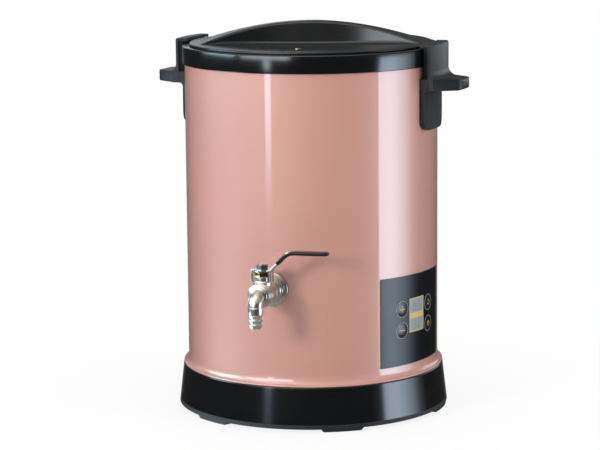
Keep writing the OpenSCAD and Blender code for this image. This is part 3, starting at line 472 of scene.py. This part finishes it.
dishSteps = [lid["dishR"] * i / 24 for i in range(25)]
lidUnder = lid["top"] - lid["thick"]
lidEdge = softened([(lid["dishR"] + 1, lid["top"]), (lid["r"], lid["top"], 1.0), (lid["r"], lidUnder, 0.5),
                    (lid["collarR"], lidUnder, 1.2), (lid["collarR"], lid["collarFoot"], 0.6),
                    (lid["dishR"], lid["collarFoot"], 0.6), (lid["dishR"], lidUnder - 0.6)])
lidOutline = ([(r, dishLevel(r)) for r in dishSteps] + lidEdge
              + [(r, dishLevel(r) - lid["thick"]) for r in reversed(dishSteps[:-1])])
cover = dress(turned("lidCover", lidOutline, lid["steps"]), "satin_black", "lid", "lid_cover")
cover.data.materials[0] = finishes["lid_black"]

grip = {"ridge": 108.0, "rise": 20.8, "half": 11.0, "straight": 20.0, "spread": 25.0, "curve": 2.6,
        "draft": 0.10, "topEdge": 2.6, "footEdge": 3.4, "sunk": 0.25, "crown": 0.4, "along": 96, "arc": 6}


def gripSection(u):  # closed section across the grip, from the front foot over the top to the back foot
    bend = (grip["ridge"] ** 2 + grip["rise"] ** 2) / (2 * grip["rise"])
    ridge = lid["top"] + grip["rise"] - bend + math.sqrt(max(bend ** 2 - u * u, 0))
    past = max(0.0, abs(u) - grip["straight"]) / (grip["ridge"] - grip["straight"])
    half = grip["half"] + grip["spread"] * past ** grip["curve"]  # the ends spread out over the lid
    foot = dishLevel(math.hypot(u, half))
    tall = max(ridge - grip["crown"] - foot, 0.02)
    edge, toe = min(grip["topEdge"], 0.45 * tall), min(grip["footEdge"], 0.45 * tall)
    side = arcPoints((half + toe, foot + toe), toe, 270, 180, grip["arc"])
    half -= grip["draft"] * (tall - toe - edge)
    side += arcPoints((half - edge, ridge - grip["crown"] - edge), edge, 0, 90, grip["arc"])
    side[0] = (side[0][0], side[0][1] - grip["sunk"])
    top = [((half - edge) * k / 6, ridge - grip["crown"] * (k / 6) ** 2) for k in range(5, -1, -1)]
    row = side + top
    return [(-v, z) for v, z in row] + [(v, z) for v, z in reversed(row[:-1])]


across = len(gripSection(0))
bridge = startPiece("lidGrip", "grid", x_subdivisions=grip["along"], y_subdivisions=across - 1, size=1)
for i, point in enumerate(bridge.data.vertices):  # the grid's rows run across the grip
    along, over = i % (grip["along"] + 1), i // (grip["along"] + 1)
    u = -grip["ridge"] * math.cos(math.pi * along / grip["along"])
    v, z = gripSection(u)[over]
    point.co = (u * mm, v * mm, z * mm)
only(bridge)
bpy.ops.object.mode_set(mode="EDIT")
bpy.ops.mesh.select_all(action="SELECT")
bpy.ops.mesh.remove_doubles(threshold=1e-5)
bpy.ops.mesh.select_all(action="DESELECT")
bpy.ops.mesh.select_non_manifold()
bpy.ops.mesh.fill()
bpy.ops.object.mode_set(mode="OBJECT")
cleanUp(bridge, 1e-5)
settle(bridge, turnZ(lid["turn"]))
smooth(bridge, 50)
dress(bridge, "satin_black", "lid", "lid_grip")
bridge.data.materials[0] = finishes["lid_black"]

vent = {"at": 74.0, "aside": -10.0, "r": 2.9, "hole": 1.1, "stem": 1.7, "high": 0.7, "low": 0.3, "deep": 2.5}
ventZ = dishLevel(math.hypot(vent["at"], vent["aside"]) + vent["r"])
ventStart = (vent["hole"], ventZ - vent["deep"])
ventOutline = softened([ventStart, (vent["hole"], ventZ + vent["high"], 0.25),
                        (vent["r"], ventZ + vent["high"], 0.4), (vent["r"], ventZ - vent["low"]),
                        (vent["stem"], ventZ - vent["low"]), (vent["stem"], ventZ - vent["deep"]), ventStart])
ventPlace = turnZ(lid["turn"]) @ shift(vent["aside"], -vent["at"], 0)
dress(turned("lidVent", ventOutline, 48, ventPlace), "brass", "lid", "lid_vent")
print("lid")


# handles: the solids' own shape with softened edges

handle = {"edge": 0.9, "coreEdge": 0.4}
for side in ("left", "right"):
    outer = softCopy(side + "Handle", side + "_handle", handle["edge"])
    dress(outer, "satin_black", "drum", side + "_handle")
    core = softCopy(side + "HandleCore", side + "_handle_core", handle["coreEdge"])
    dress(core, "satin_black", "drum", side + "_handle_core")
    core.data.materials[0] = finishes["core_black"]  # the inner blocks are a duller black
print("handles")


# tap: wall plate, ring nut, valve body, bent spout with barbs, brass gland nut, lever

onTap = outward(0, tap["z"])
onStem = shift(0, -tap["stem"], 0)


def turnedOnTap(name, corners, steps, parts=5):
    outline = softened(corners, parts)
    return turned(name, outline + outline[:1], steps, onTap)


rose = {"corners": [(8.6, 127.05), (16.5, 127.05, 0.3), (16.5, 128.3, 0.9), (14.2, 129.3, 0.8),
                    (8.6, 129.3)], "steps": 72}
dress(turnedOnTap("tapRose", rose["corners"], rose["steps"]), "nickel", "drum", "tap_rose")

nut = {"corners": [(8.5, 129.4), (13.0, 129.4, 0.4), (13.0, 133.0, 0.6), (11.6, 133.6, 0.4),
                   (11.6, 135.0, 0.7), (8.5, 135.0)],
       "steps": 96, "notches": 12, "notchR": 0.9, "notchAt": (13.3, 0, 131)}
ringNut = turnedOnTap("tapNut", nut["corners"], nut["steps"])
pegs = []
for i in range(nut["notches"]):  # grip notches round the nut
    peg = startPiece("peg", "cylinder", vertices=18, radius=nut["notchR"] * mm, depth=8 * mm)
    settle(peg, onTap @ turnZ(15 + 360 / nut["notches"] * i) @ shift(*nut["notchAt"]) @ turnZ(4))
    pegs.append(peg)
cut(ringNut, join(*pegs))
smooth(ringNut, 30)
dress(ringNut, "nickel", "drum", "tap_nut")

valve = {"corners": [(5.2, 111.8), (8.4, 111.8, 0.6), (8.4, 135.2), (9.8, 135.2, 0.4), (9.8, 139.0, 1.2),
                     (12.0, 141.5, 0.8), (12.0, 144.9, 0.5), (11.3, 145.4, 0.3), (11.3, 146.7, 0.3),
                     (12.0, 147.2, 0.5), (12.0, 158.2, 0.5), (11.4, 158.7, 0.3), (11.4, 159.5, 0.3),
                     (12.0, 160.0, 0.4), (12.0, 161.2, 0.6), (11.0, 162.0, 0.4), (11.0, 163.1, 0.3),
                     (5.2, 163.1)], "steps": 80,
         "neck": [(0, 147), (8.6, 147), (8.6, 150.2, 0.6), (7.3, 151.6, 0.8), (7.3, 155.5, 0.5), (0, 155.5)]}
valveBody = turnedOnTap("tapBody", valve["corners"], valve["steps"], 4)
cut(valveBody, turned("tapNeck", softened(valve["neck"], 4), 64, onStem), "UNION")
smooth(valveBody, 30)
dress(valveBody, "nickel", "drum", "tap_body")

spout = {"r": 6.3, "bore": 4.3, "bend": 8.8, "start": 163.3, "foot": 109.5, "barb": 4.4, "barbs": 3,
         "sides": 48}
elbow = startPiece("tapSpout", "circle", vertices=spout["sides"], radius=(spout["r"] + 0.5) * mm,
                   location=(0, -spout["start"] * mm, tap["z"] * mm), rotation=(math.pi / 2, 0, 0))
bpy.ops.object.transform_apply(location=True, rotation=True, scale=True)
bpy.ops.object.mode_set(mode="EDIT")
bpy.ops.mesh.select_all(action="SELECT")
straight = tap["spout"] - spout["bend"] - spout["start"]
bpy.ops.mesh.extrude_region_move(TRANSFORM_OT_translate={"value": (0, -straight * mm, 0)})
bpy.ops.mesh.spin(steps=14, angle=math.radians(-90), axis=(1, 0, 0),
                  center=(0, -(tap["spout"] - spout["bend"]) * mm, (tap["z"] - spout["bend"]) * mm))
bpy.ops.object.mode_set(mode="OBJECT")
cleanUp(elbow)
flange = softened([(spout["bore"], 163.2), (10.6, 163.2, 0.4), (10.6, 164.6, 0.6), (8.6, 165.2, 0.4),
                   (8.6, 166.0, 0.5), (7.0, 166.6)], 4)
flangeRing = turned("spoutFlange", flange, 64, onTap)
tail = [(spout["bore"], spout["foot"] + 23), (spout["bore"], spout["foot"])]
for i in range(spout["barbs"]):
    z = spout["foot"] + spout["barb"] * i
    tail += [(5.2, z), (6.7, z + 3.3), (6.75, z + 3.8), (6.5, z + 4.3)]
collar = spout["foot"] + spout["barbs"] * spout["barb"]
tail += softened([(6.3, collar), (7.2, collar, 0.4), (7.2, collar + 6.8, 0.6), (6.3, collar + 7.7),
                  (6.3, collar + 11)], 4)
tailPiece = turned("spoutTail", tail, 64, shift(0, -tap["spout"], 0), 24)
join(elbow, flangeRing, tailPiece)
smooth(elbow, 28)
dress(elbow, "nickel", "drum", "tap_spout")


def hexNut(name, size, place, slot, body, *stoodFor):  # six sides, with both ends turned off to a cone
    low, high, half = size["low"], size["high"], size["wide"] / 2
    piece = startPiece(name, "cylinder", vertices=6, radius=size["wide"] / math.sqrt(3) * mm,
                       depth=(high - low) * mm, location=(0, 0, (low + high) / 2 * mm))
    bpy.ops.object.transform_apply(location=True, rotation=True, scale=True)
    cone = turned("cone", [(0, low - 0.1), (half + 0.2, low - 0.1), (half + 1.4, low + 0.7),
                           (half + 1.4, high - 0.9), (half - 0.2, high + 0.05), (0, high + 0.05)], 48)
    cut(piece, cone, "INTERSECT")
    modify(piece, "BEVEL", width=size["edge"] * mm, segments=2, limit_method="ANGLE",
           angle_limit=math.radians(25))
    settle(piece, place)
    smooth(piece, 35)
    dress(piece, slot, body, *stoodFor)


glandNut = {"wide": 13.0, "low": 155.6, "high": 160.0, "edge": 0.25}
leverNut = {"wide": 10.4, "low": 162.7, "high": 166.8, "edge": 0.3, "turn": 12}
hexNut("glandNut", glandNut, onStem, "brass", "drum", "gland_cap")
hexNut("leverNut", leverNut, onStem @ turnZ(leverNut["turn"]), "dark_steel", "lever", "lever_nut")
dress(softCopy("tapLever", "tap_lever", 0.35, 2), "plain_steel", "lever", "tap_lever")

sleeve = {"path": [(14.1, 166.9), (18.5, 171.4), (21.6, 174.5), (23.9, 176.5), (26.4, 178.0), (29.5, 178.9),
                   (34, 179.2), (48, 179.4), (57, 179.6), (62.1, 179.7)],
          "tip": ((1.6, 0.93), (1.2, 0.82), (0.7, 0.7), (0.35, 0.5)), "wide": 4.9, "thick": 1.9, "sides": 28}
leverSkin = startPiece("leverSleeve", "circle", vertices=sleeve["sides"], radius=1, fill_type="NGON")
for point in leverSkin.data.vertices:  # a flat rounded section across the first stretch
    a = math.atan2(point.co.y, point.co.x)
    c, s = math.cos(a), math.sin(a)
    flat = (abs(c) ** 4 + abs(s) ** 4) ** -0.25
    point.co = (0, c * flat * sleeve["wide"] * mm, s * flat * sleeve["thick"] * mm)
path = [Vector((x, 0, z)) for x, z in sleeve["path"]]
heading = (path[1] - path[0]).normalized()
slope = Matrix.Rotation(-math.atan2(heading.z, heading.x), 4, "Y")
settle(leverSkin, Matrix.Translation(path[0] * mm) @ slope)
bpy.ops.object.mode_set(mode="EDIT")
bpy.ops.mesh.select_all(action="SELECT")
for here, there, after in zip(path, path[1:], path[2:] + [path[-1] * 2 - path[-2]]):
    bpy.ops.mesh.extrude_region_move(TRANSFORM_OT_translate={"value": (there - here) * mm})
    one, two = (there - here).normalized(), (after - there).normalized()
    bend = math.atan2(two.z, two.x) - math.atan2(one.z, one.x)
    if abs(bend) > 1e-4:
        bpy.ops.transform.rotate(value=bend, orient_axis="Y", center_override=there * mm)
for step, size in sleeve["tip"]:
    bpy.ops.mesh.extrude_region_move(TRANSFORM_OT_translate={"value": (step * mm, 0, -0.03 * mm)})
    bpy.ops.transform.resize(value=(1, size, size))
bpy.ops.object.mode_set(mode="OBJECT")
cleanUp(leverSkin)
modify(leverSkin, "SUBSURF", levels=1, render_levels=1)
settle(leverSkin, onStem)
smooth(leverSkin, 60)
dress(leverSkin, "dip_vinyl", "lever", "lever_sleeve")
print("tap")


# panel: domed buttons, printed rings, signs and a framed display

def wrapped(piece, angle, height, radius):  # bends a flat drawing in XY round the drum
    for point in piece.data.vertices:
        x, y, z = point.co / mm
        a = math.radians(angle) + x / radius
        point.co = Vector(((radius + z) * math.sin(a), -(radius + z) * math.cos(a), y + height)) * mm
    return piece


def flatRing(name, inner, outer, thick=0.06, sides=56):
    return turned(name, [(inner, 0), (inner, thick), (outer, thick), (outer, 0), (inner, 0)], sides)


def flatBar(name, x0, y0, x1, y1, thick=0.06, cuts=10):
    middle = ((x0 + x1) / 2 * mm, (y0 + y1) / 2 * mm, thick / 2 * mm)
    piece = startPiece(name, "cube", size=1, location=middle,
                       scale=((x1 - x0) * mm, (y1 - y0) * mm, thick * mm))
    bpy.ops.object.transform_apply(location=True, rotation=True, scale=True)
    if max(x1 - x0, y1 - y0) > 3:
        bpy.ops.object.mode_set(mode="EDIT")
        bpy.ops.mesh.select_all(action="SELECT")
        bpy.ops.mesh.subdivide(number_cuts=cuts)
        bpy.ops.object.mode_set(mode="OBJECT")
    return piece


def flatArc(name, radius, wide, start, end, thick=0.06):
    c, s = math.cos(math.radians(start)), math.sin(math.radians(start))
    inner = radius - wide / 2
    piece = startPiece(name, "plane", size=mm)
    bpy.ops.object.mode_set(mode="EDIT")
    bpy.ops.mesh.merge(type="CENTER")
    bpy.ops.transform.translate(value=(inner * c * mm, inner * s * mm, 0))
    bpy.ops.mesh.extrude_vertices_move(TRANSFORM_OT_translate={"value": (wide * c * mm, wide * s * mm, 0)})
    bpy.ops.mesh.select_all(action="SELECT")
    bpy.ops.mesh.spin(steps=20, angle=math.radians(end - start), center=(0, 0, 0), axis=(0, 0, 1))
    bpy.ops.mesh.select_all(action="SELECT")
    bpy.ops.mesh.extrude_region_move(TRANSFORM_OT_translate={"value": (0, 0, thick * mm)})
    bpy.ops.object.mode_set(mode="OBJECT")
    cleanUp(piece)
    return piece


button = {"stem": [(0, 121.4), (2.2, 121.4), (2.2, 121.9), (8.2, 121.9), (8.2, 123.4), (7.2, 123.4)],
          "top": panel["face"] + 0.5, "rise": 0.85, "flatR": 7.0, "steps": 8, "ring": (7.5, 7.95)}
signs = {"plus": [(flatBar, -3.3, -0.34, 3.3, 0.34), (flatBar, -0.34, -3.3, 0.34, 3.3)],
         "minus": [(flatBar, -3.3, -0.34, 3.3, 0.34)],
         "power": [(flatArc, 2.2, 0.6, 125, 415), (flatBar, -0.3, 0.6, 0.3, 2.9)],
         "timer": [(flatArc, 2.4, 0.55, 0, 360), (flatBar, -0.25, -0.25, 0.25, 1.6),
                   (flatBar, -0.25, -0.25, 1.3, 0.25)]}


def domeDrop(r):
    return button["rise"] * (r / panel["buttonR"]) ** 2


domeSteps = [button["flatR"] * (1 - i / button["steps"]) for i in range(button["steps"] + 1)]
capOutline = (button["stem"] + [(panel["buttonR"], button["top"] - domeDrop(panel["buttonR"]) - 0.2)]
              + [(r, button["top"] - domeDrop(r)) for r in domeSteps])
for name, side, row in (("plus", -1, 0), ("minus", -1, 1), ("power", 1, 0), ("timer", 1, 1)):
    angle, height = panel["at"] + side * panel["half"], panel["rows"][row]
    cap = turned(name + "Button", capOutline, 64, outward(angle, height), 24)
    dress(cap, "gloss_black", name + "_key", name + "_button")
    cap.data.materials[0] = finishes["lid_black"]  # softer than the base
    mark = join(*[draw("sign", *numbers) for draw, *numbers in signs[name]])
    mark.name = mark.data.name = name + "Sign"
    for point in mark.data.vertices:  # the sign lies on the dome
        point.co.z -= domeDrop(point.co.xy.length / mm) * mm
    settle(mark, outward(angle, height) @ shift(0, 0, button["top"]))
    dress(mark, "gold_print", name + "_key")
    printed = wrapped(flatRing(name + "Ring", *button["ring"]), angle, height, panel["face"])
    smooth(printed)
    dress(printed, "pale_print", "drum")

display = {"size": (24.0, 33.5), "z": 103.5, "edge": 1.1, "band": (-3.3, 2.3), "lift": 0.01,
           "rows": (("85", 9.0), ("30", -9.6)), "digitX": (-4.2, 4.2), "digitH": 0.04}
segments = {"a": (-2, 3.6, 2, 4.3), "b": (1.5, 0.3, 2.2, 3.7), "c": (1.5, -3.7, 2.2, -0.3),
            "d": (-2, -4.3, 2, -3.6), "e": (-2.2, -3.7, -1.5, -0.3), "f": (-2.2, 0.3, -1.5, 3.7),
            "g": (-1.7, -0.35, 1.7, 0.35)}
digitShapes = {"8": "abcdefg", "5": "acdfg", "3": "abcdg", "0": "abcdef"}
wide, tall = (size / 2 for size in display["size"])
inWide, inTall = wide - display["edge"], tall - display["edge"]
frameBars = [flatBar("displayFrame", -wide, inTall, wide, tall, cuts=24),
             flatBar("bar", -wide, -tall, wide, -inTall, cuts=24),
             flatBar("bar", -wide, -inTall, -inWide, inTall),
             flatBar("bar", inWide, -inTall, wide, inTall),
             flatBar("bar", -inWide, display["band"][0], inWide, display["band"][1], cuts=24)]
surround = wrapped(join(*frameBars), panel["at"], display["z"], panel["face"] + display["lift"])
dress(surround, "gold_print", "drum")
strokes = []
for number, middle in display["rows"]:
    for digit, aside in zip(number, display["digitX"]):
        for key in digitShapes[digit]:
            x0, y0, x1, y1 = segments[key]
            strokes.append(flatBar("displayDigits", x0 + aside, y0 + middle, x1 + aside, y1 + middle,
                                   display["digitH"], 3))
digits = wrapped(join(*strokes), panel["at"], display["z"], panel["face"] + display["lift"])
dress(digits, "digit_grey", "drum")
print("panel")


# camera at the photo's viewing angle

view = {"lens": 140.43, "sensor": 36.0, "turn": 18.0, "aside": 0.303, "tilt": 9.647, "roll": -0.495,
        "far": 2.307, "up": 0.5715}
lens = bpy.data.cameras.new("photoCamera")
lens.lens, lens.sensor_width = view["lens"], view["sensor"]
camera = bpy.data.objects.new("photoCamera", lens)
bpy.context.scene.collection.objects.link(camera)
around = math.radians(view["turn"])
camera.matrix_world = (
    Matrix.Translation((view["far"] * math.sin(around), -view["far"] * math.cos(around), view["up"]))
    @ turnZ(view["turn"] + view["aside"]) @ Matrix.Rotation(math.radians(90 - view["tilt"]), 4, "X")
    @ turnZ(view["roll"]))
bpy.context.scene.camera = camera
bpy.context.scene.view_settings.view_transform = "Standard"


# studio: soft lamps for the light, cards that only show as reflections

cool, paleBlue = (0.70, 0.845, 1.0), (0.64, 0.87, 1.0)
plainWhite, warm = (0.86, 0.94, 1.0), (1.0, 0.97, 0.92)
lampAim = Vector((0, 0, 0.2))
lamps = {"topLamp": {"size": (1.8, 1.8), "power": 17.0, "angle": 0, "far": 0.3, "up": 2.1},
         "leftLamp": {"size": (0.4, 0.45), "power": 28.0, "angle": -25, "far": 2.1, "up": 0.78},
         "rightLamp": {"size": (1.0, 1.4), "power": 19.0, "angle": 80, "far": 2.1, "up": 1.0},
         "backLamp": {"size": (1.6, 1.4), "power": 15.0, "angle": 190, "far": 2.2, "up": 1.3}}
# fade: the level at the foot and the heights between which it rises
# sideFade: the angles between which the level falls, and the level there
cards = {"rightStrip": {"angle": 101.3, "far": 1.6, "wide": 1.34, "low": -0.45, "high": 0.35, "level": 5.2,
                        "tint": cool, "sideFade": (92, 119, 0.3)},
         "leftStrip": {"angle": -19.7, "far": 1.6, "wide": 0.15, "low": -0.45, "high": 0.35, "level": 5.6,
                       "tint": cool, "fade": (0.2, -0.03, 0.15)},
         "leftGlow": {"angle": -70.0, "far": 1.6, "wide": 1.1, "low": 0.37, "high": 1.2, "level": 6.2,
                      "tint": paleBlue},
         "leftLow": {"angle": -70.0, "far": 1.6, "wide": 1.1, "low": -1.3, "high": -0.40, "level": 8.0,
                     "tint": paleBlue},
         "lidGlow": {"angle": -22.0, "far": 1.6, "wide": 1.3, "low": 0.36, "high": 1.0, "level": 4.6,
                     "tint": plainWhite},
         "frontFill": {"angle": 40.0, "far": 1.6, "wide": 1.4, "low": 1.0, "high": 1.9, "level": 0.6,
                       "tint": warm},
         "handleGlow": {"angle": 150.0, "far": 1.6, "wide": 1.0, "low": 0.20, "high": 0.85, "level": 1.5,
                        "tint": plainWhite},
         "backLeft": {"angle": 212.0, "far": 1.8, "wide": 0.9, "low": 0.46, "high": 0.9, "level": 0.8,
                      "tint": plainWhite},
         "overhead": {"angle": -20.0, "far": 0.8, "wide": 1.2, "low": 0.7, "high": 1.9, "level": 1.6,
                      "tint": warm, "lean": -70}}


def softLamp(name, look):
    data = bpy.data.lights.new(name, "AREA")
    data.shape, data.energy = "RECTANGLE", look["power"]
    data.size, data.size_y = look["size"]
    lamp = bpy.data.objects.new(name, data)
    bpy.context.scene.collection.objects.link(lamp)
    a = math.radians(look["angle"])
    lamp.location = Vector((look["far"] * math.sin(a), -look["far"] * math.cos(a), look["up"]))
    lamp.rotation_euler = (lampAim - lamp.location).to_track_quat("-Z", "Y").to_euler()
    lamp.visible_glossy = False


def reflectCard(name, look):
    card = startPiece(name, "plane", size=1)
    low, high, level = look["low"], look["high"], look["level"]
    settle(card, turnZ(look["angle"]) @ Matrix.Translation((0, -look["far"], (low + high) / 2))
           @ Matrix.Rotation(math.radians(90 + look.get("lean", 0)), 4, "X")
           @ Matrix.Diagonal((look["wide"], high - low, 1, 1)))
    made = Finish(name).bare("ShaderNodeOutputMaterial")
    x, y, height = made.parts(made.place())
    if "fade" in look:
        foot, start, end = look["fade"]
        level = made.ramp(height, start, end, foot, level)
    if "sideFade" in look:
        start, end, last = look["sideFade"]
        turn = made.node("ShaderNodeMath", {"operation": "ARCTAN2"}, {0: x, 1: 0 - y})
        level = made.ramp(turn, math.radians(start), math.radians(end), level, last)
    made.set(Surface=made.node("ShaderNodeEmission", {}, {"Color": look["tint"], "Strength": level}))
    card.data.materials.append(made.block)
    card.visible_camera = card.visible_diffuse = card.visible_shadow = False
    card.visible_transmission = False


for name, look in lamps.items():
    softLamp(name, look)
for name, look in cards.items():
    reflectCard(name, look)

# the air is white to the camera, even to diffuse rays, and dark with a few glows to reflections
airLook = {"fill": 0.40, "front": 0.02, "backLow": 0.035, "backHigh": 0.09, "edge": 0.2, "below": 0.25,
           "above": 0.5}
sky = bpy.data.worlds.new("studioAir")
bpy.context.scene.world = sky
air = Finish("studioAir", sky).bare("ShaderNodeOutputWorld")
toCamera = (math.sin(around), -math.cos(around), 0)
direction = air.node("ShaderNodeTexCoord", out=0)
facing = air.node("ShaderNodeVectorMath", {"operation": "DOT_PRODUCT"}, {0: direction, 1: toCamera}, out=1)
upward = air.parts(direction)[2]
rays = air.tree.nodes.new("ShaderNodeLightPath").outputs
cameraRay, glossyRay, clearRay = (Wire(air, rays["Is " + kind + " Ray"])
                                  for kind in ("Camera", "Glossy", "Transmission"))
backGlow = air.ramp(upward, -0.05, 0.05, airLook["backLow"], airLook["backHigh"])
edgeGlow = air.ramp(facing, -0.985, -0.90, airLook["edge"], 0.0) * air.ramp(upward, -0.04, 0.05, 1.0, 0.0)
mirrorLevel = (air.spread(facing, backGlow, airLook["front"]) + edgeGlow
               + air.ramp(upward, -0.3, -0.65, 0.0, airLook["below"])
               + air.ramp(upward, 0.35, 0.9, 0.0, airLook["above"]))
diffuseRay = (1 - cameraRay) * (1 - glossyRay) * (1 - clearRay)
airLevel = cameraRay + clearRay + glossyRay * mirrorLevel + diffuseRay * airLook["fill"]
air.set(Surface=air.node("ShaderNodeBackground", {}, {"Color": (1, 1, 1), "Strength": airLevel}))

floorLook = {"size": 8.0, "white": 0.86, "shadow": 0.16, "near": 0.17, "away": 0.42}  # the shadow fades out
floor = startPiece("studioFloor", "plane", size=floorLook["size"], location=(0, 0, 0))
ground = Finish("studioFloor").bare("ShaderNodeOutputMaterial")
plain = ground.node("ShaderNodeBsdfDiffuse", {}, {"Color": (floorLook["white"],) * 3})
bright = ground.node("ShaderNodeEmission", {}, {"Color": (1, 1, 1), "Strength": 1.0})
x, y, z = ground.parts(ground.place())
away = ground.root(x * x + y * y)
share = ground.ramp(away, floorLook["near"], floorLook["away"], floorLook["shadow"], 0.0)
mixed = ground.node("ShaderNodeMixShader", {}, {0: share, 1: bright, 2: plain})
seen = Wire(ground, ground.tree.nodes.new("ShaderNodeLightPath").outputs["Is Camera Ray"])
ground.set(Surface=ground.node("ShaderNodeMixShader", {}, {0: seen, 1: plain, 2: mixed}))
floor.data.materials.append(ground.block)
floor.visible_glossy = False
print("studio ready")
